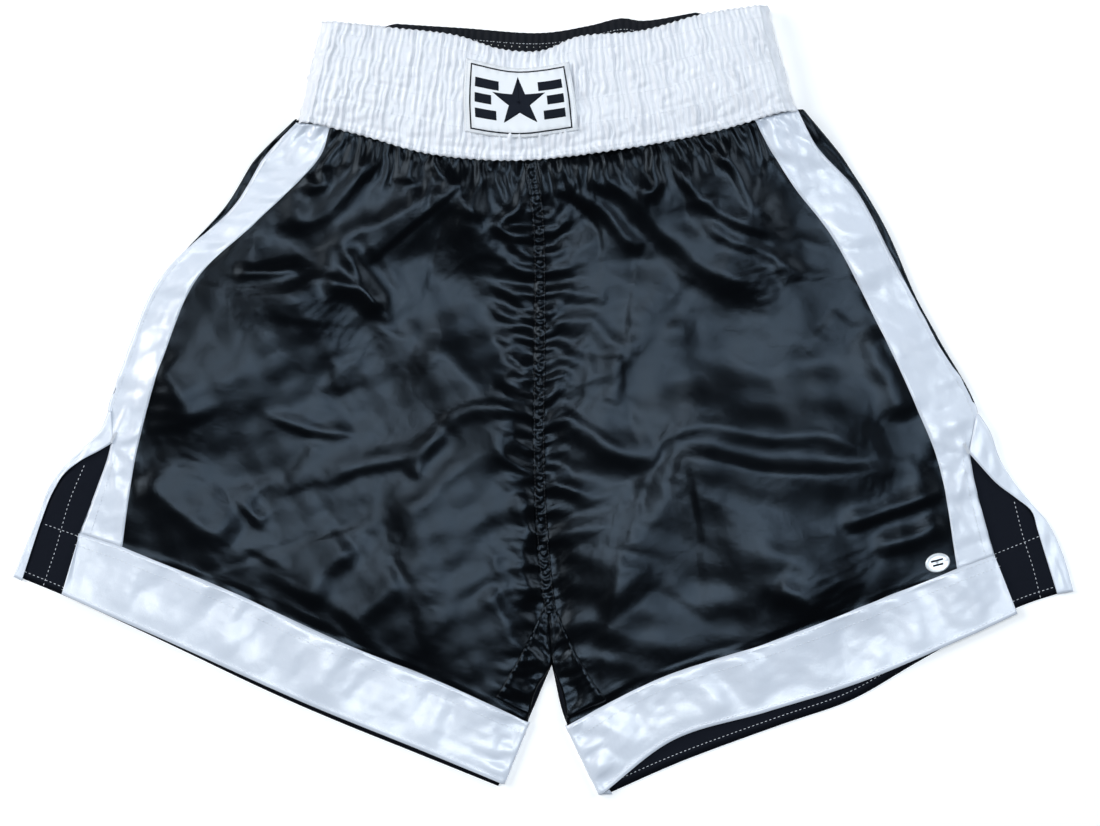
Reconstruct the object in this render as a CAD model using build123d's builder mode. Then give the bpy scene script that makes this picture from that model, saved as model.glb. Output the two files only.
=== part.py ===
from build123d import *

import math
import os

# Boxing shorts lying on their back, front side up, spread flat. X runs across to the wearer's left, Y up to
# the waist and Z up from the ground. Each half is drawn once and made for both sides. Layers from the
# ground: back trim, back panel, inside, front panel, front trim.

os.makedirs("parts", exist_ok=True)

# Layers, in millimetres.
cloth = 1.0  # one layer of satin as a plain solid
inside_space = 19.0  # free height between the back and front panels
thread = 0.4  # how far a row of stitching stands up
thread_width = 0.8
back_panel_z = cloth
inside_back_z = back_panel_z + cloth
front_panel_z = inside_back_z + inside_space
front_trim_z = front_panel_z + cloth
front_thread_z = front_trim_z + cloth

# Waistband: a flattened loop of three layers.
band_height = 26.0
shell = 1.2
elastic = 1.5
facing = 1.0
band_seam_centre = (0, 203)
band_seam_side = (203, 240)
band_seam_sag = band_seam_side[1] - band_seam_centre[1]
band_seam_radius = (band_seam_side[0] ** 2 + band_seam_sag**2) / (2 * band_seam_sag)
band_seam_quarter_x = 105
band_seam_quarter = (
    band_seam_quarter_x,
    band_seam_centre[1] + band_seam_radius - math.sqrt(band_seam_radius**2 - band_seam_quarter_x**2),
)
band_top_side = (184, 322)
band_top_back = (0, 302)
band_top_front = (0, 288)
band_row_pitch = 16.0  # between the rows that hold the elastic
band_rows = 4
band_row_inset = 12.0  # how far the lowest row stops short of the side fold
band_row_lean = 0.2  # how much further each row stops short, per millimetre up the band
band_row_dip = 4.0  # how much flatter the rows are than the seam below them
mouth_overrun = 40.0  # how far the cut through a loop runs past its open ends

# One half of the body, wearer's left.
side_middle = (296, 118)
vent_top = (356, -30)
front_hem_outer = (393, -163)
front_hem_inner = (45, -317)
crotch = (6, -214)
crotch_centre = (0, -208)
back_vent_middle = (402, -80)
back_hem_outer = (435, -148)
back_hem_middle = (255, -241)
back_hem_inner = (49, -322)

# Trim.
stripe_inner_top = (174, 231)
stripe_inner_middle = (275, 92)
stripe_inner_bottom = (343, -124)
stripe_back_width = 12.0
hem_band_width = 52.0
back_facing_outer_width = 30.0
back_facing_turned_width = 13.0
seam_row_gap = 7.5  # between the two rows of a felled seam
edge_row_inset = 3.0  # from a trim's edge to its stitching
gusset_top = (0, -160)
gusset_side = (26, -184)
gusset_bottom = (0, -197)
label_corners = [(-62, 282), (22, 280), (29, 224), (-63, 223)]
label_thickness = 0.6
label_row_inset = 1.5
badge_centre = (322, -126)
badge_radii = (9, 7)
badge_tilt = 15.0
bartack_centre = (342, -4)
bartack_size = (12, 3)

# The fold at the top of each thigh runs from the crotch to the top of the vent.
fold_angle = math.degrees(math.atan2(vent_top[1] - crotch[1], vent_top[0] - crotch[0]))
fold_clearance_front = 14.0  # front layers lie above the fold's axis and need room to swing past it
fold_clearance_back = 0.5
far = 1200.0  # larger than the shorts


def on(side, point):
    """A point of the left half, or its mirror image on the right half for side -1."""
    return (side * point[0], point[1])


def front_half(side, mode=Mode.ADD):
    """Outline of a front panel: waist seam, side fold, vent edge, hem, inseam and centre seam."""
    with BuildLine() as outline:
        ThreePointArc(on(side, band_seam_centre), on(side, band_seam_quarter), on(side, band_seam_side))
        ThreePointArc(on(side, band_seam_side), on(side, side_middle), on(side, vent_top))
        Polyline(
            on(side, vent_top),
            on(side, front_hem_outer),
            on(side, front_hem_inner),
            on(side, crotch),
            on(side, crotch_centre),
            on(side, band_seam_centre),
        )
    make_face(outline.edges(), mode=mode)


def back_half(side, mode=Mode.ADD):
    """Outline of a back panel, whose flap stands out past the front one below the vent."""
    with BuildLine() as outline:
        ThreePointArc(on(side, band_seam_centre), on(side, band_seam_quarter), on(side, band_seam_side))
        ThreePointArc(on(side, band_seam_side), on(side, side_middle), on(side, vent_top))
        ThreePointArc(on(side, vent_top), on(side, back_vent_middle), on(side, back_hem_outer))
        ThreePointArc(on(side, back_hem_outer), on(side, back_hem_middle), on(side, back_hem_inner))
        Polyline(
            on(side, back_hem_inner),
            on(side, crotch),
            on(side, crotch_centre),
            on(side, band_seam_centre),
        )
    make_face(outline.edges(), mode=mode)


def keep_hip(side, clearance):
    """Cuts the sketch to what lies on the hip's side of the fold."""
    tilt = math.radians(fold_angle)
    foot = (crotch[0] - clearance * math.sin(tilt), crotch[1] + clearance * math.cos(tilt))
    with Locations(on(side, foot)):
        Rectangle(far, far, rotation=side * fold_angle, align=(Align.CENTER, Align.MIN), mode=Mode.INTERSECT)


def keep_thigh(side, clearance):
    """Cuts the sketch to what lies on the thigh's side of the fold."""
    tilt = math.radians(fold_angle)
    foot = (crotch[0] + clearance * math.sin(tilt), crotch[1] - clearance * math.cos(tilt))
    with Locations(on(side, foot)):
        Rectangle(far, far, rotation=side * fold_angle, align=(Align.CENTER, Align.MAX), mode=Mode.INTERSECT)


def stripe_area(side, mode):
    """Everything outside the stripe's inner edge."""
    with BuildLine() as outline:
        ThreePointArc(
            on(side, stripe_inner_top), on(side, stripe_inner_middle), on(side, stripe_inner_bottom)
        )
        Polyline(
            on(side, stripe_inner_bottom),
            on(side, (stripe_inner_bottom[0], -far)),
            on(side, (far, -far)),
            on(side, (far, far)),
            on(side, (stripe_inner_top[0], far)),
            on(side, stripe_inner_top),
        )
    make_face(outline.edges(), mode=mode)


def hem_area(side, width, mode):
    """Everything within width of the front hem line, and below it."""
    run = (front_hem_outer[0] - front_hem_inner[0], front_hem_outer[1] - front_hem_inner[1])
    tilt = math.degrees(math.atan2(run[1], run[0]))
    lift = (-width * math.sin(math.radians(tilt)), width * math.cos(math.radians(tilt)))
    foot = (front_hem_inner[0] + lift[0], front_hem_inner[1] + lift[1])
    with Locations(on(side, foot)):
        Rectangle(far, far, rotation=side * tilt, align=(Align.CENTER, Align.MAX), mode=mode)


def save(piece, name):
    """Labels a finished piece and writes its file."""
    piece.part.label = name
    export_step(piece.part, f"parts/{name}.step")


# Waistband ----------------------------------------------------------------------------------------------


def band_face(inset, overrun):
    """The flat band: its folds move in by inset, and its open edges move out by overrun."""
    lean = (band_seam_side[0] - band_top_side[0]) / (band_top_side[1] - band_seam_side[1])
    seam_x = band_seam_side[0] - inset + lean * overrun
    top_x = band_top_side[0] - inset - lean * overrun
    with BuildLine() as outline:
        ThreePointArc(
            (-seam_x, band_seam_side[1] - overrun),
            (0, band_seam_centre[1] - overrun),
            (seam_x, band_seam_side[1] - overrun),
        )
        Line((seam_x, band_seam_side[1] - overrun), (top_x, band_top_side[1] + overrun))
        ThreePointArc(
            (top_x, band_top_side[1] + overrun),
            (0, band_top_back[1] + overrun),
            (-top_x, band_top_side[1] + overrun),
        )
        Line((-top_x, band_top_side[1] + overrun), (-seam_x, band_seam_side[1] - overrun))
    make_face(outline.edges())


def flat_loop(inset, thickness):
    """One layer of the waistband: a flattened tube open above and below, its front edge dipping."""
    height = band_height - 2 * inset
    with BuildPart() as loop:
        with BuildSketch(Plane.XY.offset(inset)):
            band_face(inset, 0)
        extrude(amount=height)
        with BuildSketch(Plane.XY.offset(inset + thickness)):
            band_face(inset + thickness, mouth_overrun)
        extrude(amount=height - 2 * thickness, mode=Mode.SUBTRACT)
        with BuildSketch(Plane.XY.offset(band_height / 2)):
            with BuildLine():
                dip_x = band_top_side[0] - inset - thickness
                ThreePointArc((-dip_x, band_top_side[1]), band_top_front, (dip_x, band_top_side[1]))
                Line((dip_x, band_top_side[1]), (-dip_x, band_top_side[1]))
            make_face()
        extrude(amount=band_height, mode=Mode.SUBTRACT)
    return loop


waistband_shell = flat_loop(0, shell)
save(waistband_shell, "waistband_shell")
waistband_elastic = flat_loop(shell, elastic)
save(waistband_elastic, "waistband_elastic")
waistband_facing = flat_loop(shell + elastic, facing)
save(waistband_facing, "waistband_facing")

with BuildPart() as front_label:
    with BuildSketch(Plane.XY.offset(band_height)):
        with BuildLine():
            Polyline(*label_corners, close=True)
        make_face()
    extrude(amount=label_thickness)
save(front_label, "front_label")

with BuildPart() as label_stitching:
    with BuildSketch(Plane.XY.offset(band_height + label_thickness)):
        with BuildLine():
            Polyline(*label_corners, close=True)
        make_face()
        offset(amount=-label_row_inset, mode=Mode.REPLACE)
        offset(amount=-thread_width, mode=Mode.SUBTRACT)
    extrude(amount=thread)
save(label_stitching, "label_stitching")

with BuildPart() as waistband_stitching:
    with BuildSketch(Plane.XY.offset(band_height)):
        for row in range(band_rows):
            rise = band_row_pitch * (row + 1)
            ends = band_seam_side[0] - band_row_inset - band_row_lean * rise
            end_y = band_seam_side[1] + rise - band_row_dip
            with BuildLine():
                ThreePointArc(
                    (-ends, end_y),
                    (0, band_seam_centre[1] + rise),
                    (ends, end_y),
                )
            trace(line_width=thread_width)
        with BuildLine():
            Polyline(*label_corners, close=True)
        make_face(mode=Mode.SUBTRACT)
    extrude(amount=thread)
save(waistband_stitching, "waistband_stitching")

# Centre seams and gusset --------------------------------------------------------------------------------

with BuildPart() as front_rise_seam:
    with BuildSketch(Plane.XY.offset(front_trim_z)):
        with BuildLine():
            Polyline(band_seam_centre, gusset_top)
        trace(line_width=seam_row_gap + 2 * thread_width)
    extrude(amount=cloth / 2)
save(front_rise_seam, "front_rise_seam")

with BuildPart() as back_rise_seam:
    with BuildSketch(Plane.XY.offset(inside_back_z)):
        with BuildLine():
            Polyline(band_seam_centre, gusset_top)
        trace(line_width=seam_row_gap + 2 * thread_width)
    extrude(amount=cloth / 2)
save(back_rise_seam, "back_rise_seam")

with BuildPart() as rise_stitching:
    with BuildSketch(Plane.XY.offset(front_trim_z + cloth / 2)):
        for row_x in (-seam_row_gap / 2, seam_row_gap / 2):
            with BuildLine():
                Polyline((row_x, band_seam_centre[1]), (row_x, gusset_top[1]))
            trace(line_width=thread_width)
    extrude(amount=thread)
save(rise_stitching, "rise_stitching")


def gusset_face(mode=Mode.ADD):
    """The diamond at the top of the crotch."""
    with BuildLine() as outline:
        Polyline(gusset_top, gusset_side, gusset_bottom, on(-1, gusset_side), close=True)
    make_face(outline.edges(), mode=mode)


with BuildPart() as crotch_gusset:
    with BuildSketch(Plane.XY.offset(back_panel_z)):
        gusset_face()
    extrude(amount=cloth)
    with BuildSketch(Plane.XY.offset(front_panel_z)):
        gusset_face()
    extrude(amount=cloth)
    with BuildSketch(Plane.XY.offset(inside_back_z)):
        with BuildLine():
            Polyline(gusset_side, gusset_bottom, on(-1, gusset_side))
        trace(line_width=2 * cloth)
        gusset_face(mode=Mode.INTERSECT)
    extrude(amount=inside_space)
save(crotch_gusset, "crotch_gusset")

# Halves, made for the wearer's left and right -----------------------------------------------------------

for side, hand in ((1, "left"), (-1, "right")):
    # Body panels, parted at the fold between hip and thigh.
    with BuildPart() as front_panel_hip:
        with BuildSketch(Plane.XY.offset(front_panel_z)):
            front_half(side)
            keep_hip(side, fold_clearance_front)
            gusset_face(mode=Mode.SUBTRACT)
        extrude(amount=cloth)
    save(front_panel_hip, f"front_{hand}_panel_hip")

    with BuildPart() as front_panel_thigh:
        with BuildSketch(Plane.XY.offset(front_panel_z)):
            front_half(side)
            keep_thigh(side, fold_clearance_front)
        extrude(amount=cloth)
    save(front_panel_thigh, f"front_{hand}_panel_thigh")

    with BuildPart() as back_panel_hip:
        with BuildSketch(Plane.XY.offset(back_panel_z)):
            back_half(side)
            keep_hip(side, fold_clearance_back)
            gusset_face(mode=Mode.SUBTRACT)
        extrude(amount=cloth)
    save(back_panel_hip, f"back_{hand}_panel_hip")

    with BuildPart() as back_panel_thigh:
        with BuildSketch(Plane.XY.offset(back_panel_z)):
            back_half(side)
            keep_thigh(side, fold_clearance_back)
        extrude(amount=cloth)
    save(back_panel_thigh, f"back_{hand}_panel_thigh")

    # Side seam, a narrow wall of seam allowance that joins the panels along the side fold.
    with BuildPart() as side_seam:
        with BuildSketch(Plane.XY.offset(inside_back_z)):
            with BuildLine():
                ThreePointArc(on(side, band_seam_side), on(side, side_middle), on(side, vent_top))
            trace(line_width=2 * cloth)
            front_half(side, mode=Mode.INTERSECT)
            keep_hip(side, fold_clearance_front)
        extrude(amount=inside_space)
    save(side_seam, f"{hand}_side_seam")

    # Side stripe: a strip on the front, a wall round the fold and a narrower strip underneath.
    with BuildPart() as side_stripe:
        with BuildSketch():
            with BuildLine():
                ThreePointArc(on(side, band_seam_side), on(side, side_middle), on(side, vent_top))
            trace(line_width=2 * cloth)
            front_half(side, mode=Mode.SUBTRACT)
            keep_hip(side, fold_clearance_front)
        extrude(amount=front_thread_z)
        with BuildSketch(Plane.XY.offset(front_trim_z)):
            front_half(side)
            stripe_area(side, mode=Mode.INTERSECT)
            keep_hip(side, fold_clearance_front)
        extrude(amount=cloth)
        with BuildSketch():
            with BuildLine():
                ThreePointArc(on(side, band_seam_side), on(side, side_middle), on(side, vent_top))
            trace(line_width=2 * stripe_back_width)
            front_half(side, mode=Mode.INTERSECT)
            keep_hip(side, fold_clearance_front)
        extrude(amount=cloth)
    save(side_stripe, f"{hand}_side_stripe")

    with BuildPart() as stripe_stitching:
        with BuildSketch(Plane.XY.offset(front_thread_z)):
            with BuildLine():
                ThreePointArc(
                    on(side, (stripe_inner_top[0] + edge_row_inset, stripe_inner_top[1])),
                    on(side, (stripe_inner_middle[0] + edge_row_inset, stripe_inner_middle[1])),
                    on(side, (stripe_inner_bottom[0] + edge_row_inset, stripe_inner_bottom[1])),
                )
            trace(line_width=thread_width)
            front_half(side, mode=Mode.INTERSECT)
            keep_hip(side, fold_clearance_front)
        extrude(amount=thread)
    save(stripe_stitching, f"{hand}_stripe_stitching")

    with BuildPart() as vent_bartack:
        with BuildSketch(Plane.XY.offset(front_thread_z)):
            with Locations(on(side, bartack_centre)):
                Rectangle(*bartack_size, rotation=side * fold_angle)
        extrude(amount=thread)
    save(vent_bartack, f"{hand}_vent_bartack")

    # Vent facings: the stripe's run down each edge of the vent.
    with BuildPart() as front_vent_facing:
        with BuildSketch(Plane.XY.offset(front_trim_z)):
            front_half(side)
            stripe_area(side, mode=Mode.INTERSECT)
            keep_thigh(side, fold_clearance_front)
            hem_area(side, hem_band_width, mode=Mode.SUBTRACT)
        extrude(amount=cloth)
    save(front_vent_facing, f"front_{hand}_vent_facing")

    with BuildPart() as back_vent_facing:
        with BuildSketch():
            with BuildLine():
                ThreePointArc(on(side, vent_top), on(side, back_vent_middle), on(side, back_hem_outer))
            trace(line_width=2 * back_facing_outer_width)
            back_half(side, mode=Mode.INTERSECT)
            keep_thigh(side, fold_clearance_back)
            hem_area(side, hem_band_width, mode=Mode.SUBTRACT)
        extrude(amount=cloth)
        with BuildSketch(Plane.XY.offset(inside_back_z)):
            with BuildLine():
                ThreePointArc(on(side, vent_top), on(side, back_vent_middle), on(side, back_hem_outer))
            trace(line_width=2 * back_facing_turned_width)
            back_half(side, mode=Mode.INTERSECT)
            keep_thigh(side, fold_clearance_back)
        extrude(amount=cloth)
    save(back_vent_facing, f"back_{hand}_vent_facing")

    # Hem bands on the outside of the leg, front and back.
    with BuildPart() as front_hem_band:
        with BuildSketch(Plane.XY.offset(front_trim_z)):
            front_half(side)
            hem_area(side, hem_band_width, mode=Mode.INTERSECT)
        extrude(amount=cloth)
    save(front_hem_band, f"front_{hand}_hem_band")

    with BuildPart() as back_hem_band:
        with BuildSketch():
            back_half(side)
            hem_area(side, hem_band_width, mode=Mode.INTERSECT)
        extrude(amount=cloth)
    save(back_hem_band, f"back_{hand}_hem_band")

    with BuildPart() as inseam:
        with BuildSketch(Plane.XY.offset(inside_back_z)):
            with BuildLine():
                Line(on(side, crotch), on(side, front_hem_inner))
            trace(line_width=2 * cloth)
            front_half(side, mode=Mode.INTERSECT)
            keep_thigh(side, fold_clearance_front)
        extrude(amount=inside_space)
    save(inseam, f"{hand}_inseam")

    # Stitching of the hem band: two rows under its top edge and one along the hem.
    with BuildPart() as hem_stitching:
        for inset in (edge_row_inset, edge_row_inset + seam_row_gap, hem_band_width - edge_row_inset):
            with BuildSketch(Plane.XY.offset(front_thread_z)):
                front_half(side)
                hem_area(side, hem_band_width - inset, mode=Mode.INTERSECT)
                hem_area(side, hem_band_width - inset - thread_width, mode=Mode.SUBTRACT)
            extrude(amount=thread)
    save(hem_stitching, f"{hand}_hem_stitching")

# Oval badge on the wearer's left thigh, in front of the vent.
with BuildPart() as oval_badge:
    with BuildSketch(Plane.XY.offset(front_trim_z)):
        with Locations(badge_centre):
            Ellipse(*badge_radii, rotation=badge_tilt)
    extrude(amount=thread)
save(oval_badge, "oval_badge")
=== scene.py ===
import math

import bmesh
import bpy
import numpy as np
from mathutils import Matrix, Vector
from mathutils.bvhtree import BVHTree


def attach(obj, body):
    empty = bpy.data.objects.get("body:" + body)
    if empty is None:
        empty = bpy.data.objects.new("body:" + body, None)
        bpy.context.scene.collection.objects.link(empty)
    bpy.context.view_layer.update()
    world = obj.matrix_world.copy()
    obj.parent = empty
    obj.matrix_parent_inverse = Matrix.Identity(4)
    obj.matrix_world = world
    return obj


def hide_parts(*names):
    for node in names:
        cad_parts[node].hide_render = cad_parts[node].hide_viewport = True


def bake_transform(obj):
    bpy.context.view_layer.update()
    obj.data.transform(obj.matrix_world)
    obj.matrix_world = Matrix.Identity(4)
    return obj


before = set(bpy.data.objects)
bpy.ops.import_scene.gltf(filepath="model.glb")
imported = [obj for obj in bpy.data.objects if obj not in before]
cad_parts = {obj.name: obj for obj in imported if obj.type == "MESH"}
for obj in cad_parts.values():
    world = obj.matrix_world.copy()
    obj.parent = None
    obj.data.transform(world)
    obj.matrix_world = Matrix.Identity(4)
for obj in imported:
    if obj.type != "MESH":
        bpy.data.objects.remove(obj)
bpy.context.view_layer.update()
mm = 0.001

# Camera and light table. The shorts lie on a pale table and the camera looks straight down from well
# above. Two soft ceiling lights and a small lamp shine in the satin, and a window and a doorway fill.
view_centre = Vector((0.0066, -0.0070, 0.012))
view_width = 0.902
camera_height = 2.9
sensor = 36.0

camera_data = bpy.data.cameras.new("camera")
camera_data.sensor_width = sensor
camera_data.lens = sensor * camera_height / view_width
camera_data.clip_end = 20.0
camera = bpy.data.objects.new("camera", camera_data)
camera.location = view_centre + Vector((0, 0, camera_height))
bpy.context.scene.collection.objects.link(camera)
bpy.context.scene.camera = camera
bpy.context.scene.view_settings.view_transform = "Standard"


def soft_light(name, place, aim, size, watts, colour):
    """A rectangular softbox at place, turned to face aim."""
    lamp = bpy.data.lights.new(name, "AREA")
    lamp.shape = "RECTANGLE"
    lamp.size, lamp.size_y = size
    lamp.energy = watts
    lamp.color = colour
    holder = bpy.data.objects.new(name, lamp)
    holder.location = place
    holder.rotation_euler = (Vector(aim) - Vector(place)).to_track_quat("-Z", "Y").to_euler()
    bpy.context.scene.collection.objects.link(holder)


soft_light("ceiling left", (-0.42, 0.08, 5.0), (-0.1, 0, 0), (1.05, 1.45), 42, (0.88, 0.95, 1.0))
soft_light("ceiling right", (0.66, 0.08, 5.0), (0.1, 0, 0), (1.05, 1.45), 58, (0.74, 0.87, 1.0))
soft_light("lamp", (-1.10, 1.30, 4.8), (0, 0, 0), (0.5, 0.5), 46, (0.88, 0.94, 1.0))
soft_light("window", (-4.2, 1.5, 2.6), (0, 0, 0), (3.0, 1.8), 152, (1.0, 0.995, 0.98))
soft_light("doorway", (2.9, 1.2, 1.9), (0, 0, 0), (1.4, 1.6), 42, (0.90, 0.95, 1.0))

world = bpy.data.worlds.new("room")
world.use_nodes = True
world.node_tree.nodes["Background"].inputs["Color"].default_value = (0.95, 0.98, 1.0, 1)
world.node_tree.nodes["Background"].inputs["Strength"].default_value = 0.08
bpy.context.scene.world = world

table_data = bpy.data.meshes.new("table")
table_half = 6.0
table_corners = [(x * table_half, y * table_half, 0) for x, y in ((-1, -1), (1, -1), (1, 1), (-1, 1))]
table_data.from_pydata(table_corners, [], [(0, 1, 2, 3)])
table = bpy.data.objects.new("table", table_data)
bpy.context.scene.collection.objects.link(table)
table_paint = bpy.data.materials.new("table paint")
table_paint.use_nodes = True
paint = table_paint.node_tree.nodes["Principled BSDF"]
paint.inputs["Base Color"].default_value = (0.97, 0.97, 0.97, 1)
paint.inputs["Roughness"].default_value = 0.9
paint.inputs["Specular IOR Level"].default_value = 0.1
paint.inputs["Emission Color"].default_value = (1.0, 0.97, 0.94, 1)
paint.inputs["Emission Strength"].default_value = 0.14
table_data.materials.append(table_paint)


# Front body panels, left and right. Each is black satin cut in one from waist to hem, gathered into
# the waistband and sewn to its neighbour down the rise. Cloth is spare between the seams, so it folds.
def through(points, count):
    """A smooth line through points in millimetres, as count evenly spaced places in metres."""
    p = np.array(points, float) * mm
    t = np.concatenate([[0], np.cumsum(np.sqrt(np.linalg.norm(np.diff(p, axis=0), axis=1)))])
    slope = np.gradient(p, t, axis=0)
    fine = []
    for k in range(len(p) - 1):
        s = np.linspace(0, 1, 40, endpoint=False)[:, None]
        h = t[k + 1] - t[k]
        fine.append(
            (1 + 2 * s) * (1 - s) ** 2 * p[k]
            + s * (1 - s) ** 2 * h * slope[k]
            + s * s * (3 - 2 * s) * p[k + 1]
            + s * s * (s - 1) * h * slope[k + 1]
        )
    fine = np.vstack([*fine, p[-1:]])
    run = np.concatenate([[0], np.cumsum(np.linalg.norm(np.diff(fine, axis=0), axis=1))])
    at = np.linspace(0, run[-1], count)
    return np.stack([np.interp(at, run, fine[:, c]) for c in range(2)], axis=1)


def patch(top, bottom, left, right):
    """A four-sided patch of places from its four edges; across first, then down."""
    u = np.linspace(0, 1, len(top))[:, None, None]
    v = np.linspace(0, 1, len(left))[None, :, None]
    ruled = (1 - v) * top[:, None] + v * bottom[:, None] + (1 - u) * left[None] + u * right[None]
    upper_corners = (1 - u) * (1 - v) * top[0] + u * (1 - v) * top[-1]
    lower_corners = (1 - u) * v * bottom[0] + u * v * bottom[-1]
    return ruled - upper_corners - lower_corners


def between(a, b, count):
    """Straight rows or columns from line a to line b, without a itself."""
    share = (np.arange(count) + 1)[:, None, None] / count
    return a[None] * (1 - share) + b[None] * share


def smooth(x, low, high):
    """0 below low, 1 above high, and an even curve between."""
    t = np.clip((x - low) / (high - low), 0, 1)
    return t * t * (3 - 2 * t)


across_main, across_stripe, across_side = 112, 14, 5
down_main, down_band = 150, 18
rise_share = 0.885  # of the inner edge's rows, what the rise takes; the inseam has the rest
rise_rows = int(rise_share * down_main)

shape = {
    "left": {
        "rise": [(-10, 203), (-3, 150), (-2, -62), (2, -128), (8, -214)],
        "inseam": [(8, -214), (17, -238), (21, -264)],
        "waist": [(-10, 203), (57, 211), (121, 221), (174, 233)],
        "stripe_in": [(174, 233), (203, 184), (238, 138), (276, 65), (304, 5), (326, -50), (341, -135)],
        "stripe_out": [
            (209, 242), (225, 212), (257, 177), (287, 122), (322, 55), (357, -8), (352, -41),
            (362, -90), (372, -124),
        ],
        "edge": [
            (214, 242), (250, 198), (282, 146), (307, 89), (326, 54), (358, -8), (352.5, -41),
            (362.5, -90), (372.5, -124),
        ],
        "hem_top": [(21, -264), (94, -226), (190, -194), (275, -161), (341, -135)],
        "hem": [(49, -321), (108, -276), (184, -253), (263, -228), (357, -188)],
        "hem_corner": (391, -172),
        "flap": [
            (214, 242), (250, 198), (282, 146), (307, 89), (326, 54), (358, -8), (388, -66),
            (412, -93), (436, -153),
        ],
        "back_hem": [
            (57, -319), (114, -294), (198, -263), (255, -243), (311, -211), (391, -168), (436, -153),
        ],
    },
    "right": {
        "rise": [(-10, 203), (-3, 150), (-2, -62), (2, -128), (8, -214)],
        "inseam": [(8, -214), (-5, -233), (-12, -261)],
        "waist": [(-10, 203), (-68, 208), (-125, 216), (-173, 229)],
        "stripe_in": [
            (-173, 229), (-183, 202), (-235, 149), (-283, 103), (-308, 45), (-332, -35), (-345, -117),
        ],
        "stripe_out": [
            (-201, 231), (-228, 202), (-252, 164), (-300, 118), (-321, 88), (-342, 33), (-356, -8),
            (-354, -32), (-366, -70), (-380, -106),
        ],
        "edge": [
            (-202, 234), (-236, 200), (-260, 163), (-300.5, 118), (-321.5, 88), (-342.5, 33),
            (-356.5, -8), (-354.5, -32), (-366.5, -70), (-380.5, -106),
        ],
        "hem_top": [(-12, -261), (-74, -232), (-170, -193), (-259, -152), (-345, -117)],
        "hem": [(-33, -312), (-98, -285), (-194, -246), (-314, -192), (-362, -171)],
        "hem_corner": (-395, -156),
        "flap": [
            (-202, 234), (-236, 200), (-260, 163), (-300.5, 118), (-321.5, 88), (-342.5, 33),
            (-357, -12), (-402, -62), (-419, -99), (-434, -142),
        ],
        "back_hem": [
            (-36, -314), (-98, -289), (-170, -260), (-223, -237), (-314, -194), (-396, -157),
            (-434, -142),
        ],
    },
}


def inner_edge(s):
    """Rows of the inner edge down to the hem band: the rise, then the top of the inseam."""
    return np.vstack([through(s["rise"], rise_rows), through(s["inseam"], down_main - rise_rows + 1)[1:]])


def front_plan(s):
    """The front panel's grid in plan, across from the rise to the side and down from waist to hem."""
    inner = inner_edge(s)
    stripe_in = through(s["stripe_in"], down_main)
    stripe_out = through(s["stripe_out"], down_main)
    edge = through(s["edge"], down_main)
    main = patch(through(s["waist"], across_main), through(s["hem_top"], across_main), inner, stripe_in)
    beside = [between(stripe_in, stripe_out, across_stripe), between(stripe_out, edge, across_side)]
    upper = np.concatenate([main, *beside])
    hem = through(s["hem"], across_main)
    corner = np.array([s["hem_corner"]], float) * mm
    tail = np.linspace(0, 1, across_stripe + across_side + 1)[1:, None]
    hem = np.vstack([hem, hem[-1:] * (1 - tail) + corner * tail])
    lower = between(upper[:, -1], hem, down_band)
    return np.concatenate([upper, lower.transpose(1, 0, 2)], axis=1)


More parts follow.
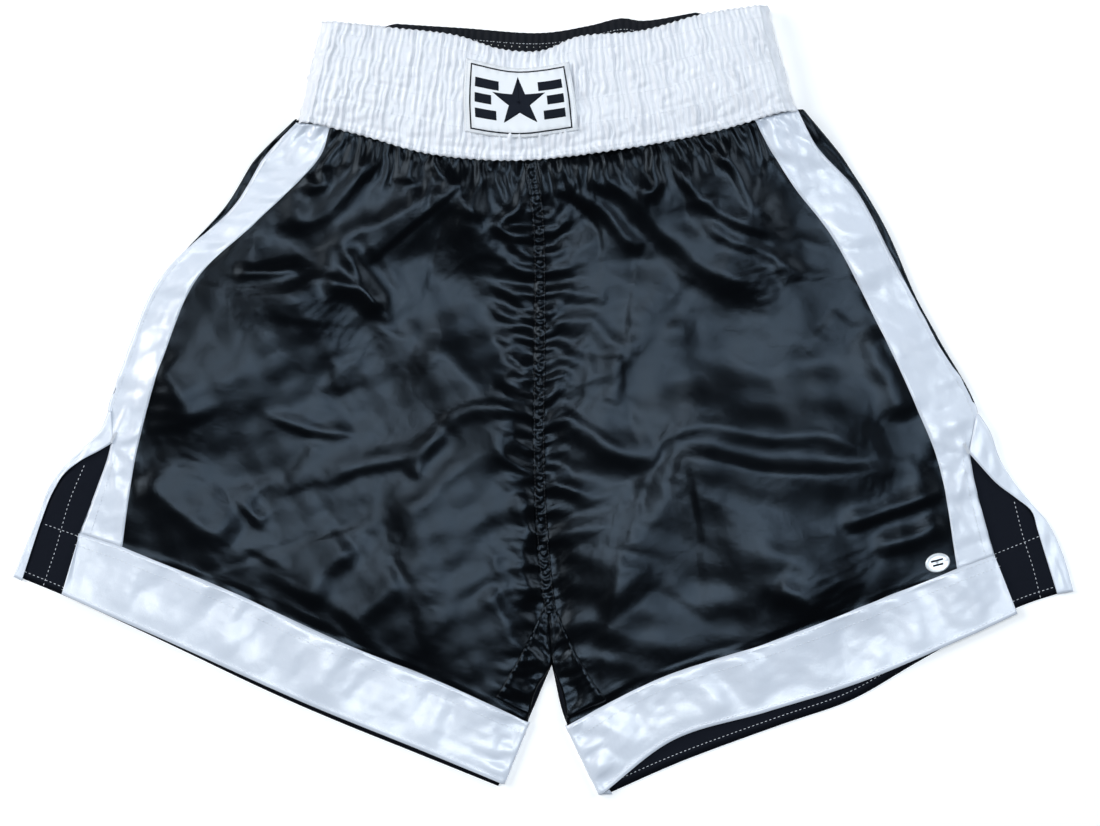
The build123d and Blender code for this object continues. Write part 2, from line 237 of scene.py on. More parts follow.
# Folds lying in the cloth. Each is a crest along a few places in millimetres, with its height and how
# far it falls away to the left and to the right of that line.
folds = {
    "right": [
        (
            [
                (-260, 95), (-220, 86), (-179, 103), (-163, 131), (-125, 148), (-87, 169), (-70, 166),
                (-46, 129), (-16, 115),
            ],
            6.5, 12, 17,
        ),
        ([(-254, 107), (-220, 109), (-195, 112)], 3, 6, 5),
        ([(-179, 103), (-146, 91), (-130, 74)], 3.5, 6, 10),
        ([(-162, 129), (-147, 100), (-132, 76)], 3, 8, 6),
        ([(-220, 150), (-183, 154), (-158, 178), (-130, 211)], 4.5, 14, 10),
        ([(-195, 186), (-187, 179), (-179, 182), (-180, 195)], 2.2, 5, 5),
        ([(-93, 205), (-87, 195), (-73, 182), (-58, 178)], 2.5, 7, 6),
        ([(-107, 205), (-111, 180)], 2.5, 7, 7),
        ([(-60, 150), (-52, 178), (-46, 196)], 3, 8, 8),
        ([(-16, 176), (-20, 160), (-36, 146), (-20, 139), (-7, 141)], 2.2, 6, 5),
        ([(-330, -8), (-285, 12), (-240, 42), (-200, 70), (-165, 98)], 7, 60, 32),
        ([(-105, 50), (-81, 37), (-58, 15), (-36, -1), (-7, -9)], 4, 16, 26),
        ([(-87, -20), (-70, -9), (-48, -3), (-9, -9)], 1.8, 6, 12),
        ([(-224, -9), (-191, -21), (-154, -24)], 1.0, 8, 4),
        ([(-179, -62), (-148, -50), (-107, -41), (-83, -18)], 2.0, 14, 7),
        ([(-107, -62), (-95, -38), (-77, -18)], 1.6, 8, 8),
        ([(-331, -55), (-310, -74), (-290, -91), (-249, -115)], 4, 26, 12),
        ([(-249, -79), (-237, -91), (-228, -100)], 1.3, 10, 4),
        ([(-132, -95), (-98, -84), (-74, -62), (-43, -40), (-7, -26)], 5.5, 17, 55),
        ([(-132, -110), (-95, -165), (-74, -199)], 1.8, 14, 26),
        ([(-197, -165), (-180, -137), (-153, -115)], 2.8, 14, 13),
        ([(-163, -185), (-132, -156), (-112, -141)], 2.8, 15, 14),
        ([(-48, -150), (-30, -180), (-20, -210)], 2.0, 10, 10),
        ([(-12, -66), (-10, -129), (-12, -170)], 2.5, 8, 14),
        ([(-320, 30), (-300, 10), (-285, -20)], 2.5, 12, 12),
    ],
    "left": [
        (
            [(12, 160), (14, 175), (36, 184), (70, 175), (104, 140), (141, 111), (165, 103), (196, 103)],
            6.5, 20, 13,
        ),
        ([(27, 173), (51, 158), (70, 136), (86, 127)], 2.8, 7, 8),
        ([(93, 210), (91, 195), (94, 180), (86, 174), (85, 184)], 2.5, 5, 5),
        ([(104, 202), (117, 186), (135, 166), (157, 153), (205, 136)], 4, 14, 9),
        ([(139, 210), (157, 195), (174, 166), (192, 151)], 3, 12, 9),
        ([(130, 151), (152, 136), (174, 129), (207, 111), (218, 107)], 2.0, 8, 7),
        ([(30, 150), (60, 110), (110, 75)], 3, 34, 28),
        ([(12, 65), (38, 68), (53, 55), (64, 43), (55, 28), (12, 15)], 1.7, 10, 17),
        ([(64, 43), (95, 58), (130, 62)], 1.2, 12, 16),
        ([(64, 43), (60, 15), (56, -2)], 1.3, 9, 12),
        (
            [
                (3, -3), (42, -27), (82, -42), (95, -29), (130, -14), (187, -25), (229, -22),
                (273, -38), (306, -46),
            ],
            5, 30, 12,
        ),
        ([(81, -45), (108, -63), (138, -87), (194, -127), (261, -159)], 7, 26, 40),
        ([(101, -53), (123, -45), (187, -58), (261, -58), (300, -53)], 4.5, 9, 22),
        ([(243, -100), (285, -87), (330, -70)], 2.6, 9, 6),
        ([(270, -119), (310, -107), (330, -92)], 2.4, 8, 9),
        ([(190, -150), (212, -160), (228, -172)], 2.2, 10, 10),
        ([(69, -119), (59, -168), (52, -205)], 2.0, 20, 9),
        ([(5, -65), (20, -68), (32, -74)], 1.6, 5, 5),
        ([(25, -90), (40, -130), (70, -170)], 3, 24, 24),
        ([(262, 60), (285, 20), (300, -15)], 2.5, 14, 12),
    ],
}


crest_steps = 96
side_change = 3 * mm  # how far either side of a crest its left fall blends into its right one
broad_feet, broad_feet_by_rise = 1.15, 0.08  # a broad fold's feet spread out, a high one's more


def fold_heights(plan, listed, broad=False):
    """The summed height of the listed folds at every place of the plan."""
    height = np.zeros(plan.shape[:2])
    for points, rise, left_fall, right_fall in listed:
        line = through(points, crest_steps)
        heading = np.gradient(line, axis=0)
        heading /= np.linalg.norm(heading, axis=1, keepdims=True)
        away = plan[:, :, None] - line[None, None]
        near = (away**2).sum(axis=3).argmin(axis=2)
        gap = np.take_along_axis(away, near[:, :, None, None], axis=2)[:, :, 0]
        ahead = heading[near]
        sideways = ahead[..., 0] * gap[..., 1] - ahead[..., 1] * gap[..., 0]
        endways = (ahead * gap).sum(axis=2)
        before = np.where(near == 0, np.maximum(-endways, 0), 0)
        past = before + np.where(near == crest_steps - 1, np.maximum(endways, 0), 0)
        widening = broad_feet + broad_feet_by_rise * rise if broad else 1.0
        leftness = smooth(sideways, -side_change, side_change)
        fall = (right_fall + (left_fall - right_fall) * leftness) * widening * mm
        along = near / (crest_steps - 1)
        taper = smooth(along, -0.02, 0.2) * (1 - smooth(along, 0.78, 1.02))
        height += rise * mm * (0.25 + 0.75 * taper) / (1 + (sideways**2 + past**2) / fall**2) ** 1.5
    return height


def crinkles(plan, seed, count):
    """Short shallow creases scattered over the cloth."""
    draw = np.random.default_rng(seed)
    listed = []
    for _ in range(count):
        i = int(draw.integers(6, plan.shape[0] - 24))
        j = int(draw.integers(20, plan.shape[1] - 26))
        x, y = plan[i, j] / mm
        turn, reach = draw.uniform(0, math.pi), draw.uniform(14, 30)
        dx, dy = reach * math.cos(turn), reach * math.sin(turn)
        sag = draw.uniform(-3, 3)
        crest = [(x - dx, y - dy), (x + sag, y), (x + dx, y + dy)]
        listed.append((crest, draw.uniform(0.3, 0.7), draw.uniform(3, 6), draw.uniform(9, 18)))
    return fold_heights(plan, listed)


vent_pulls = {
    "left": [
        ([(350, -38), (344, -26), (338, -10)], 1.3, 3, 3),
        ([(348, -39), (336, -34), (320, -26)], 1.3, 3, 3),
        ([(348, -42), (334, -46), (318, -52)], 1.1, 3, 3),
        ([(352, -44), (346, -58), (343, -76)], 1.0, 3, 3),
    ],
    "right": [
        ([(-353, -30), (-347, -18), (-340, -2)], 1.3, 3, 3),
        ([(-351, -31), (-340, -28), (-326, -20)], 1.3, 3, 3),
        ([(-351, -35), (-340, -42), (-328, -50)], 1.1, 3, 3),
        ([(-355, -36), (-352, -52), (-350, -70)], 1.0, 3, 3),
    ],
}


def seam_pulls(hand, seed):
    """The crescents that the centre seam's tight thread pulls into the cloth beside it."""
    draw = np.random.default_rng(seed)
    side, strength, length = (1, 0.7, 0.8) if hand == "left" else (-1, 1.0, 1)
    x = -3.0 + side * 4
    y, lowest = 152.0, -66
    listed = []
    while y > lowest:
        reach = draw.uniform(14, 34) * length
        climb = draw.uniform(6, 20)
        crest = [(0, 0), (0.35 * reach, 1.5), (0.8 * reach, climb * 0.5), (reach, climb)]
        crest = [(x + side * out, y + up) for out, up in crest]
        listed.append((crest, 1.35 * strength * draw.uniform(0.55, 1.25), 4.5, 6.5))
        y -= draw.uniform(9, 17)
    return listed


def waves(x, y, pitch, seed, count=10, lean=0.0):
    """Smooth random waves about 1 high, with the given pitch; lean stretches them along y."""
    draw = np.random.default_rng(seed)
    total = np.zeros_like(x)
    for _ in range(count):
        turn = draw.uniform(0, 2 * math.pi)
        rate = 2 * math.pi / (pitch * draw.uniform(0.7, 1.5))
        kx, ky = rate * math.cos(turn), rate * math.sin(turn) * (1 - lean)
        total += np.sin(kx * x + ky * y + draw.uniform(0, 2 * math.pi))
    return total / math.sqrt(count)


def pull(a, b, rest, free_a, free_b, stiffness, push_only=False):
    """Moves the paired places a and b towards their rest distance, in place."""
    gap = b - a
    length = np.sqrt((gap**2).sum(-1)) + 1e-9
    total = free_a + free_b
    share = stiffness * (length - rest) / (length * np.maximum(total, 1e-9))
    if push_only:
        share = np.minimum(share, 0)
    a += (free_a * share)[..., None] * gap
    b -= (free_b * share)[..., None] * gap


stretch_hold, shear_hold = 0.9, 0.35  # shares of a thread's and a slant's error put right in one step


def settle(cloth, spare_across, spare_down, free, floor, steps, bend, weight):
    """Relaxes a grid of cloth from its drawn shape, with some spare length added across and down: it
    drops by weight, keeps its lengths, resists bending and shear, and stays above floor."""
    longer_across = 1 + (spare_across[1:] + spare_across[:-1]) / 2
    longer_down = 1 + (spare_down[:, 1:] + spare_down[:, :-1]) / 2
    rest_across = np.linalg.norm(np.diff(cloth, axis=0), axis=2) * longer_across
    rest_down = np.linalg.norm(np.diff(cloth, axis=1), axis=2) * longer_down
    loose = 1 + (spare_across + spare_down)[1:, 1:] / 2
    rest_slants = (
        np.linalg.norm(cloth[1:, 1:] - cloth[:-1, :-1], axis=2) * loose,
        np.linalg.norm(cloth[:-1, 1:] - cloth[1:, :-1], axis=2) * loose,
    )
    double_across = np.linalg.norm(cloth[2:] - cloth[:-2], axis=2) * (1 + spare_across[1:-1])
    double_down = np.linalg.norm(cloth[:, 2:] - cloth[:, :-2], axis=2) * (1 + spare_down[:, 1:-1])
    lengthwise = [
        (cloth, rest_across, double_across, free),
        (cloth.swapaxes(0, 1), rest_down.T, double_down.T, free.T),
    ]
    for _ in range(steps):
        cloth[..., 2] -= weight * free
        for c, rest, double, f in lengthwise:
            for start in (0, 1):
                n = (len(c) - start) // 2 * 2 + start
                first, second = slice(start, n, 2), slice(start + 1, n, 2)
                pull(c[first], c[second], rest[start : n - 1 : 2], f[first], f[second], stretch_hold)
            for start in (0, 1, 2, 3):
                a, b = c[start:-2:4], c[start + 2 :: 4]
                m = min(len(a), len(b))
                fa, fb = f[start:-2:4][:m], f[start + 2 :: 4][:m]
                pull(a[:m], b[:m], double[start::4][:m], fa, fb, bend, push_only=True)
        for start in (0, 1):
            n = (len(cloth) - start) // 2 * 2 + start
            a, b = cloth[start:n:2], cloth[start + 1 : n : 2]
            fa, fb = free[start:n:2], free[start + 1 : n : 2]
            forward, back = (rest[start : n - 1 : 2] for rest in rest_slants)
            pull(a[:, :-1], b[:, 1:], forward, fa[:, :-1], fb[:, 1:], shear_hold)
            pull(a[:, 1:], b[:, :-1], back, fa[:, 1:], fb[:, :-1], shear_hold)
        np.maximum(cloth[..., 2], floor, out=cloth[..., 2])


def coarse(values, step):
    """Every step-th row and column, with the last ones kept."""
    rows = np.unique(np.append(np.arange(0, values.shape[0], step), values.shape[0] - 1))
    columns = np.unique(np.append(np.arange(0, values.shape[1], step), values.shape[1] - 1))
    return values[np.ix_(rows, columns)], rows, columns


def spread(values, rows, columns, shape_full):
    """Carries coarse values out to the full grid by straight interpolation."""
    every_row, every_column = np.arange(shape_full[0]), np.arange(shape_full[1])
    wide = np.stack([np.interp(every_row, rows, line) for line in values.T], axis=1)
    return np.stack([np.interp(every_column, columns, line) for line in wide], axis=0)


waist_height, side_height, hem_height = 15 * mm, 3.6 * mm, 4.2 * mm
body_height, waist_side_height = 8.5 * mm, 11.6 * mm
crease_half = 0.014


def rest_height(plan):
    """The front's height before its folds: highest at the waist, low at the side folds, along the inner
    legs and at the hem, with a deep crease down the centre seam above the crotch."""
    down = np.linalg.norm(plan - plan[:, :1], axis=2)
    to_side = np.linalg.norm(plan - plan[-1:, :], axis=2)
    to_hem = np.linalg.norm(plan - plan[:, -1:], axis=2)
    to_inner = np.linalg.norm(plan - plan[:1, :], axis=2)
    loft = body_height + (waist_height - body_height) * (1 - smooth(down, 0.0, 0.11))
    edge_height = side_height + (waist_side_height - side_height) * (1 - smooth(down, 0.0, 0.07))
    height = edge_height + (loft - edge_height) * smooth(to_side, -0.004, 0.05)
    low = smooth(-plan[..., 1], 0.05, 0.13)
    height = height - (height - side_height) * low * np.exp(-((to_inner / crease_half) ** 2))
    return hem_height + (height - hem_height) * smooth(to_hem, -0.01, 0.09)


fold_gain = 1.2
crinkle_count = 12
sunk = 1.6 * mm  # the ground between folds lies lower than the cloth's edges
broad_wave, small_wave = (1.3 * mm, 0.11), (0.22 * mm, 0.032)  # height and pitch
trim_ripples = ((1.0 * mm, 0.050, 0.35), (0.38 * mm, 0.021, 0.5), (0.10 * mm, 0.009, 1))  # and slant
gather_count, gather_height, gather_reach = 15, 0.85 * mm, 0.024
pucker_pitch, pucker_height, pucker_reach = 0.0075, 0.55 * mm, 0.006
cloth_floor = 2.6 * mm
# Each pass: every how many rows, how many steps, the most spare length, the stiffness and the weight.
settling = ((2, 70, 0.10, 0.3, 3e-6), (1, 90, 1.0, 0.25, 2e-6))


def gathered(plan, hand, seed):
    """The front panel's grid at rest in space, from its plan."""
    nu, nv = plan.shape[:2]
    down = np.linalg.norm(plan - plan[:, :1], axis=2)
    from_rise = np.linalg.norm(plan - plan[:1, :], axis=2)
    to_side = np.linalg.norm(plan - plan[-1:, :], axis=2)
    to_hem = np.linalg.norm(plan - plan[:, -1:], axis=2)
    u = np.arange(nu)[:, None] / (nu - 1)
    v = np.arange(nv)[None] / (nv - 1)
    x, y = plan[..., 0], plan[..., 1]
    below_waist = smooth(down, 0, 0.012)

    inside = smooth(u, 0, 0.03) * (1 - smooth(u, 0.86, 1.0)) * below_waist * (1 - smooth(v, 0.90, 0.985))
    drawn = fold_gain * fold_heights(plan, folds[hand], True)
    drawn = drawn + fold_heights(plan, seam_pulls(hand, seed + 3)) + crinkles(plan, seed + 4, crinkle_count)
    for (height, pitch), offset in ((broad_wave, 0), (small_wave, 11)):
        drawn += height * waves(x, y, pitch, seed + offset)

    edges_in = smooth(u, 0, 0.02) * (1 - smooth(u, 0.965, 1.0)) * below_waist * (1 - smooth(v, 0.965, 1.0))
    trim_zone = np.maximum(smooth(u, 0.84, 0.88), smooth(v, 0.87, 0.90))
    on_band = smooth(v, 0.875, 0.90)
    along = down * (1 - on_band) + from_rise * on_band
    inwards = to_side * (1 - on_band) + to_hem * on_band
    ripples = fold_heights(plan, vent_pulls[hand])
    for k, (height, pitch, slant) in enumerate(trim_ripples):
        ripples = ripples + height * waves(along, slant * inwards, pitch, seed + 12 + k)
    cloth = np.dstack([plan, rest_height(plan) + inside * (drawn - sunk) + edges_in * trim_zone * ripples])

    spare_across = 0.09 * np.exp(-down / 0.018) + 0.002 * inside
    spare_down = 0.003 * inside + 0.05 * np.exp(-from_rise / 0.014) * smooth(down, 0.02, 0.06)
    free = np.ones((nu, nv))
    free[0, :] = free[-1, :] = free[:, 0] = free[:, -1] = 0
    for step, steps, cap, bend, weight in settling:
        rough, rows, columns = coarse(cloth, step)
        rough = rough.copy()
        if step == 1:
            wander = 0.35 * waves(u + 0 * down, down, 0.2, seed + 5)
            gathers = np.sin(2 * math.pi * (gather_count * u + wander) + 2.0 * waves(x, y, 0.05, seed + 6))
            fade = np.exp(-down / gather_reach) * smooth(down, 0, 0.004) * (1 - smooth(u, 0.97, 1))
            rough[..., 2] += gather_height * gathers * fade
            puckers = np.sin(2 * math.pi * down / pucker_pitch + 1.6 * waves(x, y, 0.06, seed + 9))
            beside = from_rise / pucker_reach * np.exp(1 - from_rise / pucker_reach)
            fade = beside * smooth(down, 0.02, 0.06) * (1 - smooth(v, 0.8, 0.9))
            rough[..., 2] += pucker_height * puckers * fade
        kept = np.ix_(rows, columns)
        limited = (np.minimum(spare[kept], cap) for spare in (spare_across, spare_down))
        settle(rough, *limited, free[kept], cloth_floor, steps, bend, weight)
        moved = rough - cloth[kept]
        cloth = cloth + np.dstack([spread(moved[..., c], rows, columns, (nu, nv)) for c in range(3)])
    return cloth


def outward(grid):
    """Unit normals of a grid, pointing up for a grid laid left to right and top to bottom."""
    n = np.cross(np.gradient(grid, axis=0), np.gradient(grid, axis=1))
    return n / (np.linalg.norm(n, axis=2, keepdims=True) + 1e-12)


def grid_mesh(name, grid, face_up, cloth_size, closed=False):
    """A mesh of quads on a grid, with its cloth coordinates in metres as the UV map."""
    nu, nv = grid.shape[:2]
    index = np.arange(nu * nv).reshape(nu, nv)
    if closed:
        index = np.vstack([index, index[:1]])
    a, b, c, d = index[:-1, :-1], index[1:, :-1], index[1:, 1:], index[:-1, 1:]
    quads = np.stack([a, b, c, d], axis=-1).reshape(-1, 4)
    mesh = bpy.data.meshes.new(name)
    flat = grid.reshape(-1, 3)
    q = quads[len(quads) // 2]
    turned = np.cross(flat[q[1]] - flat[q[0]], flat[q[3]] - flat[q[0]])[2]
    if not closed and (turned > 0) != face_up:
        quads = quads[:, ::-1]
    mesh.from_pydata(flat.tolist(), [], quads.tolist())
    width, length = cloth_size
    grid_u = np.repeat(np.linspace(0, width, len(index)), nv)
    grid_v = np.tile(np.linspace(0, length, nv), len(index))
    steps_u = quads // nv
    layer = mesh.uv_layers.new(name="cloth")
    corner_u = np.empty(quads.shape)
    corner_v = np.empty(quads.shape)
    corner_u[:] = grid_u[np.minimum(steps_u * nv, len(grid_u) - 1)]
    corner_v[:] = grid_v[quads % nv]
    layer.data.foreach_set("uv", np.stack([corner_u, corner_v], axis=-1).ravel())
    mesh.polygons.foreach_set("use_smooth", [True] * len(mesh.polygons))
    mesh.update()
    made = bpy.data.objects.new(name, mesh)
    bpy.context.scene.collection.objects.link(made)
    return made


def cut_size(grid):
    """A trim's width and length in metres, measured along its rows and columns."""
    across = np.linalg.norm(np.diff(grid, axis=0), axis=2).sum(axis=0).mean()
    down = np.linalg.norm(np.diff(grid, axis=1), axis=2).sum(axis=1).mean()
    return round(float(across), 3), round(float(down), 3)


def thicken(piece, thickness, offset):
    """Gives a cloth piece its thickness, with a closed edge all round."""
    skin = piece.modifiers.new("thickness", "SOLIDIFY")
    skin.thickness = thickness
    skin.offset = offset
    skin.use_even_offset = False
    return piece


def bends(piece):
    """The piece runs over the fold between the hips and one leg; its placement is baked into its mesh."""
    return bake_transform(piece)


gloss_swing = 0.02
turns_per_scale = 20 / (2 * math.pi)  # a wave texture's bands for each unit of its scale


def fabric(
    name, colour, roughness, specular, sheen, gloss_tint, thread_pitch, thread_depth, crease_depth, anisotropy
):
    """A woven cloth: even colour with slight wear, fine threads both ways and small soft creases."""
    material = bpy.data.materials.new(name)
    material.use_nodes = True
    nodes, links = material.node_tree.nodes, material.node_tree.links
    skin = nodes["Principled BSDF"]
    skin.inputs["Specular IOR Level"].default_value = specular
    skin.inputs["Anisotropic"].default_value = anisotropy
    skin.inputs["Sheen Weight"].default_value = sheen
    skin.inputs["Sheen Roughness"].default_value = 0.35
    skin.inputs["Sheen Tint"].default_value = (*gloss_tint, 1)
    skin.inputs["Specular Tint"].default_value = (*gloss_tint, 1)
    cloth_place = nodes.new("ShaderNodeUVMap")
    cloth_place.uv_map = "cloth"
    space = nodes.new("ShaderNodeTexCoord")

    patchy = nodes.new("ShaderNodeTexNoise")
    patchy.inputs["Scale"].default_value = 18
    patchy.inputs["Detail"].default_value = 4
    links.new(space.outputs["Object"], patchy.inputs["Vector"])
    tone = nodes.new("ShaderNodeMixRGB")
    tone.inputs["Color1"].default_value = (*[c * 0.93 for c in colour], 1)
    tone.inputs["Color2"].default_value = (*[min(1, c * 1.05) for c in colour], 1)
    links.new(patchy.outputs["Fac"], tone.inputs["Fac"])
    links.new(tone.outputs["Color"], skin.inputs["Base Color"])

    slub = nodes.new("ShaderNodeTexNoise")
    slub.inputs["Scale"].default_value = 1
    slub.inputs["Detail"].default_value = 2
    stretch = nodes.new("ShaderNodeMapping")
    stretch.inputs["Scale"].default_value = (900, 90, 1)
    links.new(cloth_place.outputs["UV"], stretch.inputs["Vector"])
    links.new(stretch.outputs["Vector"], slub.inputs["Vector"])
    gloss = nodes.new("ShaderNodeMapRange")
    gloss.inputs["To Min"].default_value = roughness - gloss_swing
    gloss.inputs["To Max"].default_value = roughness + gloss_swing
    links.new(slub.outputs["Fac"], gloss.inputs["Value"])
    links.new(gloss.outputs["Result"], skin.inputs["Roughness"])

    weave = nodes.new("ShaderNodeMath")
    weave.operation = "MULTIPLY"
    for k, direction in enumerate(("X", "Y")):
        threads = nodes.new("ShaderNodeTexWave")
        threads.wave_profile = "SIN"
        threads.bands_direction = direction
        threads.inputs["Scale"].default_value = 1 / (thread_pitch * turns_per_scale)
        links.new(cloth_place.outputs["UV"], threads.inputs["Vector"])
        links.new(threads.outputs["Fac"], weave.inputs[k])
    threads_bump = nodes.new("ShaderNodeBump")
    threads_bump.inputs["Strength"].default_value = 0.35
    threads_bump.inputs["Distance"].default_value = thread_depth
    links.new(weave.outputs["Value"], threads_bump.inputs["Height"])

    crease = nodes.new("ShaderNodeTexNoise")
    crease.inputs["Scale"].default_value = 95
    crease.inputs["Detail"].default_value = 3
    crease.inputs["Distortion"].default_value = 0.6
    links.new(space.outputs["Object"], crease.inputs["Vector"])
    crease_bump = nodes.new("ShaderNodeBump")
    crease_bump.inputs["Strength"].default_value = 0.6
    crease_bump.inputs["Distance"].default_value = crease_depth
    links.new(crease.outputs["Fac"], crease_bump.inputs["Height"])
    links.new(threads_bump.outputs["Normal"], crease_bump.inputs["Normal"])
    links.new(crease_bump.outputs["Normal"], skin.inputs["Normal"])
    return material


black_satin = fabric(
    "black satin",
    (0.0011, 0.0014, 0.0021), 0.26, 0.215, 0.0, (0.66, 0.82, 1.0), 0.00035, 0.00004, 0.00030, 0.3
)

panel_thickness = 0.45 * mm
panel_flat = (0.44, 0.54)
fronts = {}
for number, hand in enumerate(("left", "right")):
    plan = front_plan(shape[hand])
    fronts[hand] = gathered(plan, hand, 31 + 7 * number)
    panel = grid_mesh(f"front_{hand}_panel", fronts[hand], True, panel_flat)
    thicken(panel, panel_thickness, -1)
    panel.data.materials.append(black_satin)
    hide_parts(f"front_{hand}_panel_hip", f"front_{hand}_panel_thigh")
    bends(panel)

# Back body panels, the same satin, lying on the table under the front ones. They run out past the
# front at the vents and the hem, where their inner face shows.
back_across, back_down = 70, 96
dull_satin = fabric(
    "satin inside",
    (0.0045, 0.0052, 0.0078), 0.55, 0.10, 0.04, (0.6, 0.7, 1.0), 0.00045, 0.00006, 0.00040, 0.1
)
back_rise = int(0.8 * back_down)
back_height = 1.1 * mm
flap_drawn_in = 3.6 * mm
backs = {}
for number, hand in enumerate(("left", "right")):
    s = shape[hand]
    leg = through([s["inseam"][0], s["inseam"][2], s["back_hem"][0]], back_down - back_rise + 1)
    inner = np.vstack([through(s["rise"], back_rise), leg[1:]])
    top = through([*s["waist"][:-1], s["edge"][0]], back_across)
    plan = patch(top, through(s["back_hem"], back_across), inner, through(s["flap"], back_down))
    drawn_in = smooth(-plan[..., 1], 0.004, 0.03) * np.linspace(0, 1, back_across)[:, None] ** 6
    plan[..., 0] -= flap_drawn_in * drawn_in * (1 if hand == "left" else -1)
    x, y = plan[..., 0], plan[..., 1]
    height = back_height + 0.45 * mm * waves(x, y, 0.07, 61 + number)
    down = np.linalg.norm(plan - plan[:, :1], axis=2)
    height = height + 1.6 * mm * (1 - smooth(down, 0, 0.05))
    backs[hand] = np.dstack([plan, np.maximum(height, back_height)])
    lower_face = backs[hand] - np.array([0, 0, panel_thickness])
    panel = grid_mesh(f"back_{hand}_panel", lower_face, False, panel_flat)
    thicken(panel, panel_thickness, -1)
    panel.data.materials.append(black_satin)
    panel.data.materials.append(dull_satin)
    panel.modifiers["thickness"].material_offset = 1
    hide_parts(f"back_{hand}_panel_hip", f"back_{hand}_panel_thigh")
    bends(panel)

# Side stripes: white satin sewn on over the side seams. Low down each one wraps the side fold and its
# outer edge goes under; higher up it lies on the front, with a sliver of the black back showing past it.
white_satin = fabric(
    "white satin", (0.70, 0.752, 0.845), 0.26, 0.90, 0.05, (1, 0.95, 0.88), 0.00035, 0.00004, 0.00030, 0.3
)
trim_lift = 0.35 * mm
trim_thickness = 0.5 * mm


def raised(grid, lift):
    """The grid moved up off its cloth by lift."""
    up = outward(grid)
    return grid + up * np.sign(up[..., 2:]) * lift


round_share = 0.6  # of a turned edge's rows, what its bend takes; the flat underside has the rest
widest_bend = 2.2 * mm


def turned_under(rim, out, low, under, count):
    """Rows that carry a piece's edge round a fold: down to low in a half circle, then back underneath."""
    rows = []
    deep = np.maximum(rim[:, 2] - low, 0) / 2
    for k in range(1, count + 1):
        swing = math.pi * min(1.0, k / count / round_share)
        back = under * max(0.0, (k / count - round_share) / (1 - round_share))
        reach = np.sin(swing) * np.minimum(deep, widest_bend) - back
        place = rim[:, :2] + out * reach[:, None]
        rows.append(np.column_stack([place, rim[:, 2] - deep * (1 - np.cos(swing))]))
    return np.stack(rows)


turn_columns = 8
trim_low = trim_thickness + 0.1 * mm
stripe_under = 11 * mm
stripe_grids = {}
for hand, side in (("left", 1), ("right", -1)):
    grid = raised(fronts[hand], trim_lift)
    strip = grid[across_main - 1 : across_main + across_stripe, :down_main]
    rim = strip[-1]
    sliver = np.linalg.norm(rim - grid[-1, :down_main], axis=1)
    wraps = (1 - smooth(sliver, 1.5 * mm, 4 * mm)) * (1 - smooth(-rim[:, 1], 0.000, 0.012))
    wraps = wraps[None, :, None]
    around = turned_under(rim, np.array([side, 0]), trim_low, stripe_under, turn_columns)
    share = (np.arange(turn_columns) + 1)[:, None, None] / turn_columns
    tucked = rim[None] + share * np.array([-side * 0.6 * mm, 0, -0.35 * mm])
    strip = np.concatenate([strip, around * wraps + tucked * (1 - wraps)])
    stripe_grids[hand] = strip
    stripe = grid_mesh(f"{hand}_side_stripe", strip, True, cut_size(strip))
    thicken(stripe, trim_thickness, 1)
    stripe.data.materials.append(white_satin)
    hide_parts(f"{hand}_side_stripe", f"front_{hand}_vent_facing")
    bends(stripe)

# Hem bands: white satin sewn on the outside of each leg round its opening, front and back. At the
# inner leg the front one turns round the fold.
band_under = 9 * mm
hem_grids = {}
for hand, side in (("left", 1), ("right", -1)):
    band = raised(fronts[hand], trim_lift)[:, down_main - 1 :]
    around = turned_under(band[0], np.array([-side, 0]), trim_low, band_under, turn_columns)
    band = np.concatenate([around[::-1], band])
    hem_grids[hand] = band
    hem = grid_mesh(f"front_{hand}_hem_band", band, True, cut_size(band))
    thicken(hem, trim_thickness, 1)
    hem.data.materials.append(white_satin)
    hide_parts(f"front_{hand}_hem_band")
    bends(hem)

back_band_rows = 14
lowest_cloth = 0.12 * mm
for hand in ("left", "right"):
    under = backs[hand][:, -back_band_rows:] - np.array([0, 0, 0.5 * mm])
    under[..., 2] = np.maximum(under[..., 2], lowest_cloth)
    hem = grid_mesh(f"back_{hand}_hem_band", under, False, cut_size(under))
    thicken(hem, 0.1 * mm, 1)
    hem.data.materials.append(white_satin)
    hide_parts(f"back_{hand}_hem_band")
    bends(hem)

# Vent flaps: below each vent's top the stripe's back half runs on down the flap's outer edge, turned
# over on to the black inside.
flap_lines = {
    "left": (
        [(351, -40), (359, -49), (374, -65), (390, -77), (403, -88), (408, -104), (424, -156)],
        [(357, -8), (366, -22), (375, -45), (388, -65), (402, -82), (415, -97), (427, -122), (436.5, -154)],
    ),
    "right": (
        [
            (-352, -31), (-364, -38), (-379, -46), (-393, -57), (-403, -73), (-411, -93), (-419, -117),
            (-428, -145),
        ],
        [
            (-354, -5), (-361, -21), (-377, -37), (-393, -52), (-405, -69), (-413, -90), (-422, -112),
            (-434, -142),
        ],
    ),
}
flap_rows, flap_columns = 64, 10
flap_thickness = 0.4 * mm
ray_start, straight_down = 0.2, Vector((0, 0, -1))


def drop_on(places, surfaces, lift):
    """Heights for places in plan: lift above the highest of the surfaces there."""
    out = []
    for x, y in places.reshape(-1, 2):
        best = 0.0
        for s in surfaces:
            hit = s.ray_cast(Vector((x, y, ray_start)), straight_down)
            if hit[0] is not None:
                best = max(best, hit[0].z)
        out.append((x, y, best + lift))
    return np.array(out).reshape(*places.shape[:-1], 3)


